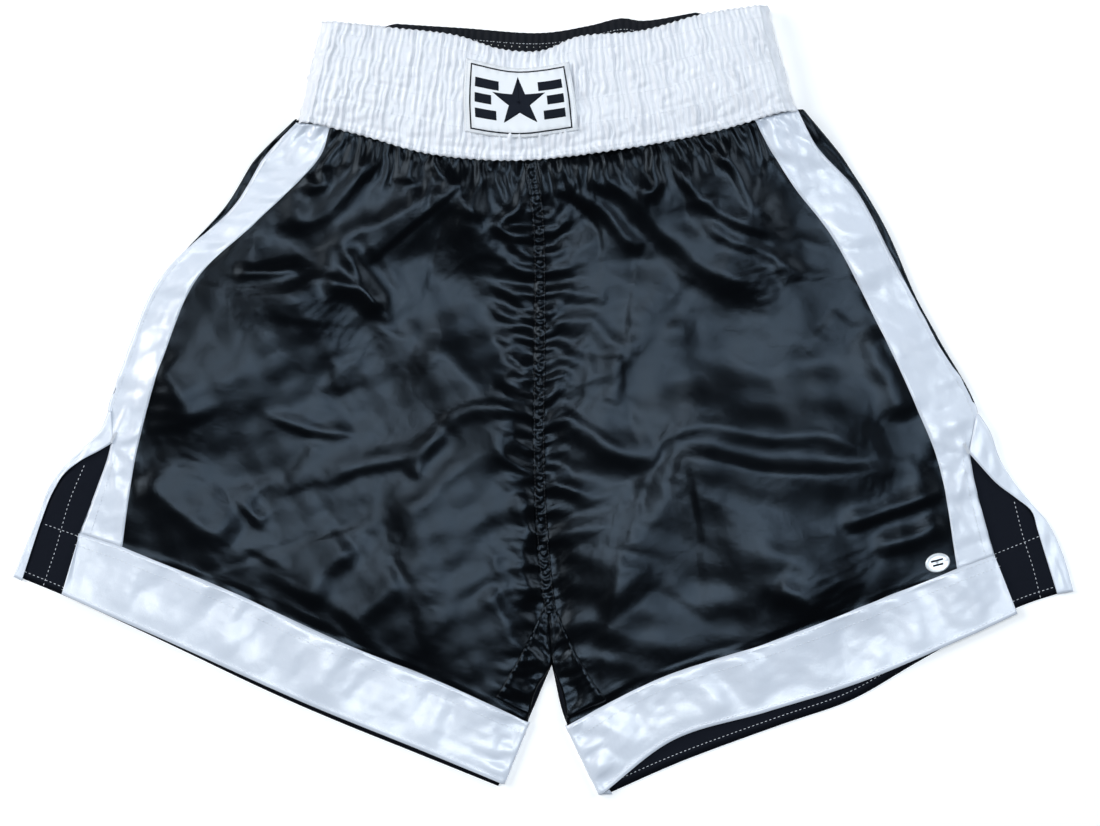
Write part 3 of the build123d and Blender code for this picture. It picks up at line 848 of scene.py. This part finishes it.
def solid_surface(grid):
    """A grid as a surface that other pieces can be laid on."""
    nu, nv = grid.shape[:2]
    index = np.arange(nu * nv).reshape(nu, nv)
    quads = np.stack([index[:-1, :-1], index[1:, :-1], index[1:, 1:], index[:-1, 1:]], axis=-1).reshape(-1, 4)
    return BVHTree.FromPolygons(grid.reshape(-1, 3).tolist(), quads.tolist())


back_surfaces = [solid_surface(backs[h]) for h in ("left", "right")]
front_surfaces = [solid_surface(fronts[h]) for h in ("left", "right")]
for hand, side in (("left", 1), ("right", -1)):
    inner, outer = (through(line, flap_rows) for line in flap_lines[hand])
    plan = np.concatenate([inner[None], between(inner, outer, flap_columns)])
    laid = drop_on(plan, back_surfaces, 0.9 * mm)
    fall = smooth(np.arange(flap_rows) / flap_rows, 0, 0.45)[None, :]
    across = np.linspace(0, 1, len(plan))[:, None]
    join = 3.4 * mm * (1 - fall)
    pinch = 0.5 * mm * waves(plan[..., 0], plan[..., 1], 0.012, 90 + side, lean=0.5)
    pinch = pinch * (1 - 0.5 * fall) * np.sin(math.pi * across)
    laid[..., 2] = np.maximum(laid[..., 2], 2.0 * mm) + join + pinch
    under = turned_under(laid[-1], np.array([side, 0]), trim_low, 10 * mm, turn_columns)
    turned = np.concatenate([laid, under])
    flap = grid_mesh(f"back_{hand}_vent_facing", turned, True, cut_size(turned))
    thicken(flap, flap_thickness, 1)
    flap.data.materials.append(white_satin)
    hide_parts(f"back_{hand}_vent_facing")
    bends(flap)

# Waistband shell: white satin shirred over a wide elastic, a flattened loop. The rows that sew it to
# the elastic pinch its pleats, and its two free edges ruffle.
band_bottom = [(-199, 233), (-152, 222), (-98, 208), (-24, 202), (57, 210), (139, 224), (206, 242)]
band_top_front = [
    (-179, 311), (-133, 306), (-73, 299), (-35, 288), (0, 287), (30, 298), (84, 303), (139, 317),
    (184, 324),
]
band_top_back = [
    (-179, 312), (-132, 308), (-68, 304), (0, 300), (41, 306), (68, 312), (87, 310), (139, 318),
    (184, 325),
]
fold_radius = 8.5 * mm
band_middle, band_half = 11.6 * mm, 8.4 * mm
band_height, half_waist = 0.085, 0.19
around_front, around_fold, around_back, up_band = 430, 26, 400, 44


def band_loop():
    """For each step round the band: how far across it is (-1 to 1), front 1 or back -1, and its
    outward direction across and up."""
    rows = []
    for k in range(around_front):
        rows.append((-1 + 2 * k / (around_front - 1), 1.0, 0.0, 1.0))
    for k in range(1, around_fold):
        a = math.pi * k / around_fold
        rows.append((1.0, math.cos(a), math.sin(a), math.cos(a)))
    for k in range(around_back):
        rows.append((1 - 2 * k / (around_back - 1), -1.0, 0.0, -1.0))
    for k in range(1, around_fold):
        a = math.pi * k / around_fold
        rows.append((-1.0, -math.cos(a), -math.sin(a), -math.cos(a)))
    return np.array(rows)


def band_grid(inset, pleats, reach_top, reach_bottom):
    """The band's grid, moved in by inset, with pleats(along, up, front) added outwards."""
    loop = band_loop()
    at, front, out_x, out_z = loop.T
    samples = 400
    bottom, top_f, top_b = (through(line, samples) for line in (band_bottom, band_top_front, band_top_back))
    share = np.linspace(-1, 1, samples)

    def place(line):
        return np.stack([np.interp(at, share, line[:, c]) for c in range(2)], axis=1)

    mix = smooth(front, -1, 1)[:, None]
    low, high = place(bottom), place(top_f) * mix + place(top_b) * (1 - mix)
    t = np.linspace(reach_bottom, 1 + reach_top, up_band)[None, :]
    x = low[:, :1] * (1 - t) + high[:, :1] * t
    y = low[:, 1:] * (1 - t) + high[:, 1:] * t
    middle_x = x[around_front // 2][None]
    x = middle_x + (x - middle_x) * (1 - fold_radius / half_waist)
    half_way = np.column_stack([x[:, up_band // 2], y[:, up_band // 2]])
    step = np.linalg.norm(np.diff(half_way, axis=0, append=half_way[:1]), axis=1)
    step = np.where(np.abs(out_x) > 0, math.pi * fold_radius / around_fold, step)
    along = np.cumsum(step)[:, None]
    up = t * band_height
    puff = band_half - 2.2 * mm * (1 - smooth(t, -0.02, 0.30)) - 1.4 * mm * smooth(t, 0.85, 1.0)
    lift = pleats(along, up, out_z[:, None]) - inset
    z = band_middle + front[:, None] * puff + out_z[:, None] * lift
    x = x + out_x[:, None] * (fold_radius * np.abs(out_x[:, None]) + lift)
    return np.dstack([x, y, np.maximum(z, 0.25 * mm + inset)])


band_rows_at = [0.06, 0.27, 0.48, 0.69, 0.90]
loop_length = 0.79


broad_pleat, fine_pleat = (1.5 * mm, 0.0082), (1.0 * mm, 0.0047)  # height and pitch
row_pinch, row_half = 0.42, 1.7 * mm


def pleats_round(along, pitch):
    """Upright pleats from 0 to 1 high, a whole number of them round the loop."""
    return 0.5 + 0.5 * np.cos(2 * math.pi * along * round(loop_length / pitch) / loop_length)


def shirring(along, up, facing_up):
    """Height of the shirred pleats: uneven upright ribs, pinched where rows of stitching cross."""
    t = up / band_height
    along, up = np.broadcast_arrays(along, up)
    sway = 1.3 * mm * waves(along, up, 0.030, 5) + 2.4 * mm * waves(along, up * 0.35, 0.11, 6)
    broad = pleats_round(along + sway + 0.05 * up, broad_pleat[1])
    fine = pleats_round(along + 1.1 * mm * waves(along, up, 0.018, 7), fine_pleat[1])
    uneven = 0.66 + 0.30 * waves(along, 0.5 * up, 0.024, 8)
    pinch = np.ones_like(along)
    for row in band_rows_at:
        pinch = pinch * (1 - row_pinch * np.exp(-(((t - row) * band_height / row_half) ** 2)))
    flare = 1 + 0.35 * np.exp(-((t / 0.05) ** 2)) + 0.25 * np.exp(-(((1 - t) / 0.05) ** 2))
    side = np.where(facing_up > -0.5, 1.0, 0.45)
    cross = 0.30 * mm * waves(along, 2.2 * up, 0.012, 9)
    ribs = broad_pleat[0] * broad**1.3 * uneven + fine_pleat[0] * fine * (0.6 + 0.8 * uneven) + cross
    return ribs * pinch * flare * side


waist_satin = fabric(
    "shirred satin", (0.775, 0.795, 0.845), 0.32, 0.60, 0.06, (1, 1, 1), 0.00035, 0.00004, 0.00020, 0.25
)
shell_grid = band_grid(0.0, shirring, 0.03, -0.03)
ripple = np.sin(np.arange(len(shell_grid)) * 0.93)[:, None] * 0.5 * mm
ends = np.linspace(0, 1, up_band)[None]
shell_grid[..., 1] += ripple * (np.exp(-ends / 0.04) + np.exp(-(1 - ends) / 0.04))
shell = grid_mesh("waistband_shell", shell_grid, True, (0.8, band_height), closed=True)
thicken(shell, 0.35 * mm, -1)
shell.data.materials.append(waist_satin)
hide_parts("waistband_shell")
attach(shell, "hips")

# Waistband facing: matte black cloth inside the loop, its top edge standing just past the shell's.
lining = fabric(
    "black facing", (0.008, 0.009, 0.012), 0.7, 0.2, 0.15, (0.7, 0.75, 0.85), 0.0006, 0.0001, 0.0004, 0.0
)


def facing_gathers(along, up, facing_up):
    """Small upright gathers of the facing."""
    sway = 1.2 * mm * waves(along + 0 * up, up + 0 * along, 0.03, 15)
    return 0.8 * mm * (2 * pleats_round(along + sway, 0.0061) - 1)


facing_grid = band_grid(2.6 * mm, facing_gathers, 0.0, 0.02)
facing_stand, standing_rows = 5.2 * mm, 8
back_start = around_front + around_fold - 1
back_span = slice(back_start, back_start + around_back)
stands_up = np.zeros(len(facing_grid))
stands_up[back_span] = facing_stand * (1 - smooth(np.abs(np.linspace(-1, 1, around_back)), 0.70, 0.80))
facing_grid[:, -standing_rows:, 1] += stands_up[:, None] * np.linspace(0, 1, standing_rows)[None]
facing = grid_mesh("waistband_facing", facing_grid, True, (0.78, band_height), closed=True)
thicken(facing, 0.35 * mm, -1)
facing.data.materials.append(lining)
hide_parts("waistband_facing")
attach(facing, "hips")

# Waistband elastic: ribbed woven elastic hidden between the shell and the facing.
rubber_web = fabric(
    "elastic web", (0.72, 0.72, 0.70), 0.7, 0.3, 0.1, (1, 1, 1), 0.0012, 0.0003, 0.0002, 0.0
)


def elastic_ribs(along, up, facing_up):
    """Fine lengthwise ribs of the elastic."""
    return 0.12 * mm * np.cos(2 * math.pi * up / (3 * mm)) + 0 * along


elastic_grid = band_grid(1.6 * mm, elastic_ribs, -0.06, 0.06)
elastic_band = grid_mesh("waistband_elastic", elastic_grid, True, (0.78, 0.08), closed=True)
thicken(elastic_band, 0.3 * mm, -1)
elastic_band.data.materials.append(rubber_web)
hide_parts("waistband_elastic")
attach(elastic_band, "hips")

# Side seams and inseams: the seam allowance, black satin, that closes the front to the back round the
# side fold and round the inner leg.
seam_thickness = 0.35 * mm
seam_inset = 1.0 * mm
for hand, side in (("left", 1), ("right", -1)):
    front = fronts[hand]
    vent_row = int(np.argmax(front[-1, :, 1] < -0.012))
    side_rim = front[-1, :vent_row] + np.array([-side * seam_inset, 0, 0.1 * mm])
    leg_rim = front[0, rise_rows:down_main] + np.array([side * seam_inset, 0, 0.1 * mm])
    for name, rim, out in ((f"{hand}_side_seam", side_rim, side), (f"{hand}_inseam", leg_rim, -side)):
        around = turned_under(rim, np.array([out, 0]), 0.9 * mm, 7 * mm, 12)
        allowance = np.concatenate([rim[None], around])
        seam = grid_mesh(name, allowance, True, cut_size(allowance))
        thicken(seam, seam_thickness, 1)
        seam.data.materials.append(black_satin)
        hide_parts(name)
        bends(seam)

# Centre seams: a felled seam down the front and the back, a narrow tape of folded satin that its two
# rows of thread pinch into small rungs.
tape_half = 5.1 * mm
tape_rows, tape_columns = 300, 13
tape_length = 377 * mm
rung_pitch, rung_height, tape_crown = 0.0056, 0.38 * mm, 0.55 * mm
rise_line = through([(-10, 201.5), (-3, 150), (-2, -62), (2, -128), (7, -172)], tape_rows)
heading = np.gradient(rise_line, axis=0)
heading /= np.linalg.norm(heading, axis=1, keepdims=True)
sideways = np.column_stack([-heading[:, 1], heading[:, 0]])


def beside_rise(offset):
    """The centre seam's line moved sideways by offset, towards the wearer's left."""
    return rise_line + sideways * offset


tape_plan = np.stack([beside_rise(o) for o in np.linspace(-tape_half, tape_half, tape_columns)])
tape = drop_on(tape_plan, front_surfaces, 0.30 * mm)
tape_run = np.arange(tape_rows)[None] * tape_length / tape_rows
rungs = np.sin(2 * math.pi * (tape_run / rung_pitch + 0.25 * waves(tape_run, tape_run * 0, 0.03, 71)))
crown = np.clip(1 - (np.linspace(-1, 1, tape_columns) / 0.8) ** 2, 0, 1)[:, None]
tape[..., 2] += tape_crown * crown + rung_height * rungs * crown
rise_front = grid_mesh("front_rise_seam", tape, True, cut_size(tape))
thicken(rise_front, 0.3 * mm, 1)
rise_front.data.materials.append(black_satin)
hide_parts("front_rise_seam")
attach(rise_front, "hips")

under_tape = np.dstack([tape_plan, 0.15 * mm + 0.05 * mm * (1 + rungs) * crown])
rise_back = grid_mesh("back_rise_seam", under_tape, False, cut_size(under_tape))
thicken(rise_back, 0.1 * mm, 1)
rise_back.data.materials.append(black_satin)
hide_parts("back_rise_seam")
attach(rise_back, "hips")

# Crotch gusset: a diamond of satin let in below the centre seam, in two halves that meet in the crease.
gusset_lines = {
    "left": (
        [(8, -166), (11, -190), (9, -214), (17, -236), (21, -258)],
        [(9, -160), (20, -189), (42, -228), (54, -243)],
    ),
    "right": (
        [(5, -166), (4, -190), (7, -214), (-4, -233), (-11, -255)],
        [(4, -160), (-9, -190), (-27, -222), (-38, -241)],
    ),
}
gusset_rows, gusset_columns = 44, 18
gusset_step = 2.1 * mm
gusset_ridge = 0.7 * mm
for hand, side in (("left", 1), ("right", -1)):
    crease_side, seam_side = (through(line, gusset_rows) for line in gusset_lines[hand])
    plan = np.concatenate([crease_side[None], between(crease_side, seam_side, gusset_columns)])
    laid = drop_on(plan, front_surfaces, 0.45 * mm)
    share = np.linspace(0, 1, len(plan))[:, None]
    run = np.arange(gusset_rows)[None] * gusset_step
    wander = 0.3 * waves(run + 0 * share, share * 0.02 + 0 * run, 0.03, 77)
    gathers = np.sin(2 * math.pi * (run / pucker_pitch + wander))
    laid[..., 2] += gusset_ridge * gathers * np.exp(-(((share - 0.86) / 0.2) ** 2))
    laid[..., 2] += gusset_ridge * np.exp(-(((share - 0.9) / 0.07) ** 2))
    laid[..., 2] = np.maximum(laid[..., 2], 3.2 * mm)
    gusset = grid_mesh(f"crotch_gusset_{hand}", laid, True, cut_size(laid))
    thicken(gusset, 0.35 * mm, 1)
    gusset.data.materials.append(black_satin)
    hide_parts("crotch_gusset")
    bends(gusset)

# Front label: a woven satin label sewn to the waistband over its pleats, with a woven frame line and a
# star between bars in dark thread.
label_columns, label_rows = 61, 41
label_edges = (
    through([(-62, 283), (-25, 275), (0, 276), (22, 280)], label_columns),
    through([(-63, 223), (-38, 219), (-14, 218), (10, 221), (30, 224)], label_columns),
    through([(-62, 283), (-64, 252), (-63, 223)], label_rows),
    through([(22, 280), (27, 252), (30, 224)], label_rows),
)
label_plan = patch(*label_edges)
label_x, label_y = label_plan[..., 0], label_plan[..., 1]
label_u = np.linspace(-1, 1, label_columns)[:, None]
label_v = np.linspace(-1, 1, label_rows)[None]
label_rim = np.maximum(np.abs(label_u), np.abs(label_v))
label_top, edge_drop, lower_drop = 24.4 * mm, 1.5 * mm, 2.2 * mm
label_height = label_top - edge_drop * smooth(label_rim, 0.8, 1.0) - lower_drop * smooth(label_v, -0.2, 1.0)
label_height = label_height + 0.35 * mm * waves(label_x, label_y, 0.030, 83, lean=0.6)
pleat_turns = label_x / broad_pleat[1] + 0.3 * waves(label_x, label_y, 0.03, 84)
label_height += 0.45 * mm * np.sin(2 * math.pi * pleat_turns) * smooth(label_rim, 0.6, 0.95)
label_grid = np.dstack([label_plan, label_height])
woven_satin = fabric(
    "woven label", (0.80, 0.82, 0.85), 0.34, 0.5, 0.05, (1, 1, 1), 0.0005, 0.00005, 0.0001, 0.2
)
ink_thread = fabric(
    "dark label thread", (0.003, 0.004, 0.008), 0.5, 0.14, 0.0, (0.7, 0.8, 1), 0.0006, 0.0001, 0.0001, 0.1
)
label = grid_mesh("front_label", label_grid, True, (0.092, 0.060))
thicken(label, 0.5 * mm, 1)
label.data.materials.append(woven_satin)
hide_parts("front_label")
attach(label, "hips")


def on_label(places, lift):
    """Places given across and up the label, -1 to 1 each way, laid on its face."""
    places = np.asarray(places, float)
    i = np.clip((places[..., 0] + 1) / 2 * (label_columns - 1), 0, label_columns - 1.001)
    j = np.clip((1 - places[..., 1]) / 2 * (label_rows - 1), 0, label_rows - 1.001)
    i0, j0 = i.astype(int), j.astype(int)
    fi, fj = (i - i0)[..., None], (j - j0)[..., None]
    upper = label_grid[i0, j0] * (1 - fi) + label_grid[i0 + 1, j0] * fi
    lower = label_grid[i0, j0 + 1] * (1 - fi) + label_grid[i0 + 1, j0 + 1] * fi
    return upper * (1 - fj) + lower * fj + np.array([0, 0, lift])


def bar(x0, x1, y0, y1):
    """A rectangle on the label as a grid."""
    across = np.linspace(x0, x1, max(4, round((x1 - x0) * 48)))
    up = np.linspace(y1, y0, max(3, round((y1 - y0) * 32)))
    return np.stack(np.meshgrid(across, up, indexing="ij"), axis=-1)


def star(points, outer, inner, squeeze):
    """A star on the label as a round grid of rings and spokes."""
    spokes = np.arange(points * 16 + 1) / (points * 16) * 2 * math.pi
    blade = np.abs(((spokes / (2 * math.pi) * points) % 1) - 0.5) * 2
    angle = math.pi / points
    to_notch = outer * np.sin((1 - blade) * angle)
    edge = outer * inner * math.sin(angle) / (to_notch + inner * np.sin(blade * angle) + 1e-9)
    rings = np.linspace(0.002, 1, 7)[None]
    x = edge[:, None] * np.sin(spokes)[:, None] * rings * squeeze
    y = edge[:, None] * np.cos(spokes)[:, None] * rings
    return np.stack([x, y], axis=-1)


frame_in, frame_wide, frame_tall = 0.90, 0.026, 0.04
mark_lift, mark_thickness = 0.62 * mm, 0.15 * mm
marks = [
    bar(-frame_in, frame_in, frame_in - frame_tall, frame_in),
    bar(-frame_in, frame_in, -frame_in, -frame_in + frame_tall),
    bar(-frame_in, -frame_in + frame_wide, -frame_in, frame_in),
    bar(frame_in - frame_wide, frame_in, -frame_in, frame_in),
    star(5, 0.74, 0.29, 0.68),
]
bar_far, bar_half, bar_pitch = 0.80, 0.13, 0.42
for k, bar_near in enumerate((0.36, 0.50, 0.42)):
    level = bar_pitch * (1 - k)
    for direction in (-1, 1):
        ends = sorted((direction * bar_near, direction * bar_far))
        marks.append(bar(*ends, level - bar_half, level + bar_half))
parts = []
for k, mark in enumerate(marks):
    piece = grid_mesh(f"label_mark_{k}", on_label(mark, mark_lift), True, (0.03, 0.01))
    thicken(piece, mark_thickness, 0)
    parts.append(piece)


def joined(name, pieces):
    """Several pieces as one plain mesh, with their modifiers applied."""
    whole = bmesh.new()
    for piece in pieces:
        finished = piece.evaluated_get(bpy.context.evaluated_depsgraph_get())
        piece_mesh = bpy.data.meshes.new_from_object(finished)
        whole.from_mesh(piece_mesh)
        bpy.data.objects.remove(piece)
    mesh = bpy.data.meshes.new(name)
    whole.to_mesh(mesh)
    whole.free()
    made = bpy.data.objects.new(name, mesh)
    bpy.context.scene.collection.objects.link(made)
    return made


bpy.context.view_layer.update()
emblem = joined("label_emblem", parts)
emblem.data.materials.append(ink_thread)
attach(emblem, "hips")

# Oval badge: a small foil badge pressed on the wearer's left thigh above the hem, with a raised rim and
# two short dark bars.
badge_centre = np.array([325, -130]) * mm
badge_tilt = math.radians(15)
badge_long, badge_short = 10.3 * mm, 7.8 * mm


def on_badge(x, y):
    """Places in plan on the badge, x along it and y across it in half-widths."""
    along, across = x * badge_long, y * badge_short
    place_x = badge_centre[0] + along * math.cos(badge_tilt) - across * math.sin(badge_tilt)
    place_y = badge_centre[1] + along * math.sin(badge_tilt) + across * math.cos(badge_tilt)
    return np.stack([place_x, place_y], axis=-1)


badge_turns = np.linspace(0, 2 * math.pi, 73)[:, None]
badge_rings = np.array([0.01, 0.2, 0.4, 0.6, 0.74, 0.80, 0.85, 0.90, 0.95, 1.0])[None]
badge_plan = on_badge(np.cos(badge_turns) * badge_rings, np.sin(badge_turns) * badge_rings)
badge_seat = drop_on(badge_plan, front_surfaces, 0)[..., 2].max()
raised_rim = 0.35 * mm * np.exp(-(((badge_rings - 0.87) / 0.05) ** 2))
badge_dome = badge_seat + 0.35 * mm + raised_rim - 0.3 * mm * smooth(badge_rings, 0.93, 1)
badge_grid = np.dstack([badge_plan, badge_dome + 0 * badge_turns])
foil = fabric(
    "badge foil", (0.74, 0.77, 0.80), 0.30, 0.6, 0.0, (1, 1, 1), 0.0008, 0.00003, 0.00012, 0.0
)
foil.node_tree.nodes["Principled BSDF"].inputs["Metallic"].default_value = 0.25
badge = grid_mesh("oval_badge", badge_grid, True, (0.06, 0.008))
thicken(badge, 0.4 * mm, -1)
badge.data.materials.append(foil)
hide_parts("oval_badge")
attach(badge, "left_leg")
parts = []
mark_half = 0.1
for level, reach in ((0.26, 0.5), (-0.22, 0.42)):
    down_mark = np.linspace(level + mark_half, level - mark_half, 4)
    x, y = np.meshgrid(np.linspace(-reach, reach, 12), down_mark, indexing="ij")
    mark_grid = np.dstack([on_badge(x, y), np.full(x.shape, badge_seat + 0.48 * mm)])
    mark = grid_mesh("mark", mark_grid, True, (0.01, 0.002))
    thicken(mark, 0.12 * mm, 0)
    parts.append(mark)
bpy.context.view_layer.update()
badge_marks = joined("badge_marks", parts)
badge_marks.data.materials.append(ink_thread)
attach(badge_marks, "left_leg")

# Stitching: rows of separate stitches, each a short bead of thread lying along its row. White thread
# holds the trims, hems and waistband, and black thread the centre seam.
def thread_material(name, colour):
    """Twisted polyester thread: fine diagonal ply lines and a low gloss."""
    material = bpy.data.materials.new(name)
    material.use_nodes = True
    nodes, links = material.node_tree.nodes, material.node_tree.links
    skin = nodes["Principled BSDF"]
    skin.inputs["Roughness"].default_value = 0.5
    skin.inputs["Specular IOR Level"].default_value = 0.4
    skin.inputs["Sheen Weight"].default_value = 0.1
    space = nodes.new("ShaderNodeTexCoord")
    ply = nodes.new("ShaderNodeTexWave")
    ply.bands_direction = "DIAGONAL"
    ply.inputs["Scale"].default_value = 900
    ply.inputs["Distortion"].default_value = 1.5
    links.new(space.outputs["Object"], ply.inputs["Vector"])
    shade = nodes.new("ShaderNodeMixRGB")
    shade.inputs["Color1"].default_value = (*[c * 0.82 for c in colour], 1)
    shade.inputs["Color2"].default_value = (*colour, 1)
    links.new(ply.outputs["Fac"], shade.inputs["Fac"])
    links.new(shade.outputs["Color"], skin.inputs["Base Color"])
    bump = nodes.new("ShaderNodeBump")
    bump.inputs["Strength"].default_value = 0.3
    bump.inputs["Distance"].default_value = 0.0001
    links.new(ply.outputs["Fac"], bump.inputs["Height"])
    links.new(bump.outputs["Normal"], skin.inputs["Normal"])
    return material


white_thread = thread_material("white thread", (0.78, 0.81, 0.86))
black_thread = thread_material("black thread", (0.012, 0.014, 0.018))


def sewing_tree():
    """Geometry nodes that lay stitches along the edges of a mesh."""
    tree = bpy.data.node_groups.new("sewing", "GeometryNodeTree")
    face = tree.interface
    face.new_socket("Rows", in_out="INPUT", socket_type="NodeSocketGeometry")
    for label_text in ("Stitch Spacing", "Stitch Length", "Thread Radius"):
        face.new_socket(label_text, in_out="INPUT", socket_type="NodeSocketFloat")
    face.new_socket("Thread", in_out="INPUT", socket_type="NodeSocketMaterial")
    face.new_socket("Stitches", in_out="OUTPUT", socket_type="NodeSocketGeometry")
    nodes, links = tree.nodes, tree.links
    given, made = nodes.new("NodeGroupInput"), nodes.new("NodeGroupOutput")
    rows = nodes.new("GeometryNodeMeshToCurve")
    spaced = nodes.new("GeometryNodeResampleCurve")
    spaced.mode = "LENGTH"
    bead = nodes.new("GeometryNodeMeshUVSphere")
    bead.inputs["Segments"].default_value = 6
    bead.inputs["Rings"].default_value = 4
    half = nodes.new("ShaderNodeMath")
    half.operation = "MULTIPLY"
    half.inputs[1].default_value = 0.5
    size = nodes.new("ShaderNodeCombineXYZ")
    shaped = nodes.new("GeometryNodeTransform")
    along = nodes.new("GeometryNodeInputTangent")
    turn = nodes.new("FunctionNodeAlignRotationToVector")
    turn.axis = "X"
    place = nodes.new("GeometryNodeInstanceOnPoints")
    real = nodes.new("GeometryNodeRealizeInstances")
    rounded = nodes.new("GeometryNodeSetShadeSmooth")
    finish = nodes.new("GeometryNodeSetMaterial")
    for source, socket_out, target, socket_in in (
        (given, "Rows", rows, "Mesh"),
        (rows, "Curve", spaced, "Curve"),
        (given, "Stitch Spacing", spaced, "Length"),
        (given, "Stitch Length", half, 0),
        (half, "Value", size, "X"),
        (given, "Thread Radius", size, "Y"),
        (given, "Thread Radius", size, "Z"),
        (bead, "Mesh", shaped, "Geometry"),
        (size, "Vector", shaped, "Scale"),
        (along, "Tangent", turn, "Vector"),
        (spaced, "Curve", place, "Points"),
        (shaped, "Geometry", place, "Instance"),
        (turn, "Rotation", place, "Rotation"),
        (place, "Instances", real, "Geometry"),
        (real, "Geometry", rounded, "Geometry"),
        (rounded, "Geometry", finish, "Geometry"),
        (given, "Thread", finish, "Material"),
        (finish, "Geometry", made, "Stitches"),
    ):
        links.new(source.outputs[socket_out], target.inputs[socket_in])
    return tree


sewing = sewing_tree()


def sew(name, rows, thread, spacing=3.1 * mm, stitch=2.3 * mm, radius=0.26 * mm):
    """Stitches along rows of places, as one mesh."""
    places = np.vstack(rows)
    edges, start = [], 0
    for row in rows:
        edges += [(start + k, start + k + 1) for k in range(len(row) - 1)]
        start += len(row)
    guide = bpy.data.meshes.new(name + "_rows")
    guide.from_pydata(places.tolist(), edges, [])
    carrier = bpy.data.objects.new(name + "_rows", guide)
    bpy.context.scene.collection.objects.link(carrier)
    stitcher = carrier.modifiers.new("sewing", "NODES")
    stitcher.node_group = sewing
    values = {"Stitch Spacing": spacing, "Stitch Length": stitch, "Thread Radius": radius, "Thread": thread}
    for socket in sewing.interface.items_tree:
        if socket.in_out == "INPUT" and socket.name in values:
            stitcher[socket.identifier] = values[socket.name]
    bpy.context.view_layer.update()
    mesh = bpy.data.meshes.new_from_object(carrier.evaluated_get(bpy.context.evaluated_depsgraph_get()))
    bpy.data.objects.remove(carrier)
    mesh.name = name
    if not mesh.materials:
        mesh.materials.append(thread)
    made = bpy.data.objects.new(name, mesh)
    bpy.context.scene.collection.objects.link(made)
    return made


def column_at(grid, column, rows=slice(None)):
    """One line down a grid, at a column that may lie between two."""
    k = int(column)
    return (grid[k] * (1 - column + k) + grid[k + 1] * (column - k))[rows]


def row_at(grid, row, columns=slice(None)):
    """One line across a grid, at a row that may lie between two."""
    k = int(row)
    return (grid[:, k] * (1 - row + k) + grid[:, k + 1] * (row - k))[columns]


thread_lift = 0.12 * mm
above_trim = np.array([0, 0, trim_thickness + thread_lift])
above_panel = np.array([0, 0, thread_lift])
flap_stitch_rows = {
    "left": ([(389, -81), (396, -109), (404, -134), (410, -158)], [(373, -123), (408, -109)]),
    "right": ([(-377, -51), (-389, -80), (-400, -118), (-410, -148)], [(-408, -99), (-380, -109)]),
}
vent_tops = {"left": (349, -36), "right": (-352, -27)}
for hand, side in (("left", 1), ("right", -1)):
    strip, band, back = stripe_grids[hand], hem_grids[hand], backs[hand]
    vent_row = int(np.argmax(fronts[hand][-1, :, 1] < -0.040))
    rows = [
        column_at(strip, 0.8) + above_trim,
        column_at(strip, across_stripe - 1.0, slice(2, vent_row - 2)) + above_trim,
        column_at(strip, across_stripe - 3.2, slice(vent_row, None)) + above_trim,
    ]
    edging = sew(f"{hand}_stripe_stitching", rows, white_thread)
    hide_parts(f"{hand}_stripe_stitching")
    bends(edging)

    on_front = slice(turn_columns, None)
    flap_row, cross_row = flap_stitch_rows[hand]
    hem_rows = [
        row_at(band, 0.9, on_front) + above_trim,
        row_at(band, 3.4, on_front) + above_trim,
        row_at(band, down_band - 1.3, on_front) + above_trim,
        row_at(back, back_down - 2.25) + above_panel,
        drop_on(through(flap_row, 40), back_surfaces, 0.15 * mm),
        drop_on(through(cross_row, 24), back_surfaces, 0.15 * mm),
    ]
    hemming = sew(f"{hand}_hem_stitching", hem_rows, white_thread, 3.7 * mm, 2.2 * mm, 0.30 * mm)
    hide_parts(f"{hand}_hem_stitching")
    bends(hemming)

    # Bartack: a dense zigzag across the top of the vent.
    zigzag = np.array([(k * 0.62 - 5, (-1) ** k * 1.3) for k in range(17)])
    lean = math.radians(-62 * side)
    turn = np.array([[math.cos(lean), math.sin(lean)], [-math.sin(lean), math.cos(lean)]])
    tack_plan = (np.array(vent_tops[hand]) + zigzag @ turn) * mm
    tack_line = drop_on(tack_plan, front_surfaces, 1.2 * mm)
    tack_line[:, 2] = tack_line[:, 2].max()
    tack = sew(f"{hand}_vent_bartack", [tack_line], white_thread, 1.1 * mm, 2.0 * mm, 0.28 * mm)
    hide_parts(f"{hand}_vent_bartack")
    bends(tack)

label_low, label_high = label_plan.min(axis=(0, 1)), label_plan.max(axis=(0, 1))
shown = []
for t in band_rows_at:
    line = shell_grid[: around_front + 2, int(t * (up_band - 1))] + np.array([0, 0, 0.1 * mm])
    hidden = ((line[:, :2] > label_low) & (line[:, :2] < label_high)).all(axis=1)
    hits = np.flatnonzero(hidden)
    shown += [line] if not len(hits) else [line[: hits[0]], line[hits[-1] + 1 :]]
middle_back = slice(back_span.start + around_back // 8, back_span.stop - around_back // 8)
shown.append(facing_grid[middle_back, up_band - 4] + np.array([0, 0, 0.35 * mm]))
waist_sewing = sew("waistband_stitching", shown, white_thread)
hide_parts("waistband_stitching")
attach(waist_sewing, "hips")

border = 0.965
edge_run = np.linspace(-border, border, 60)
edge_level = np.full(len(edge_run), border)
edges = [(edge_run, edge_level), (edge_run, -edge_level), (-edge_level, edge_run), (edge_level, edge_run)]
label_border = [on_label(np.column_stack(edge), mark_lift) for edge in edges]
label_sewing = sew("label_stitching", label_border, white_thread, 2.4 * mm, 1.8 * mm, 0.2 * mm)
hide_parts("label_stitching")
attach(label_sewing, "hips")

rise_rows_sewn = [column_at(tape, column) + np.array([0, 0, 0.35 * mm]) for column in (1.6, 10.4)]
rise_sewing = sew("rise_stitching", rise_rows_sewn, black_thread, 2.9 * mm, 2.2 * mm, 0.3 * mm)
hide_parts("rise_stitching")
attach(rise_sewing, "hips")
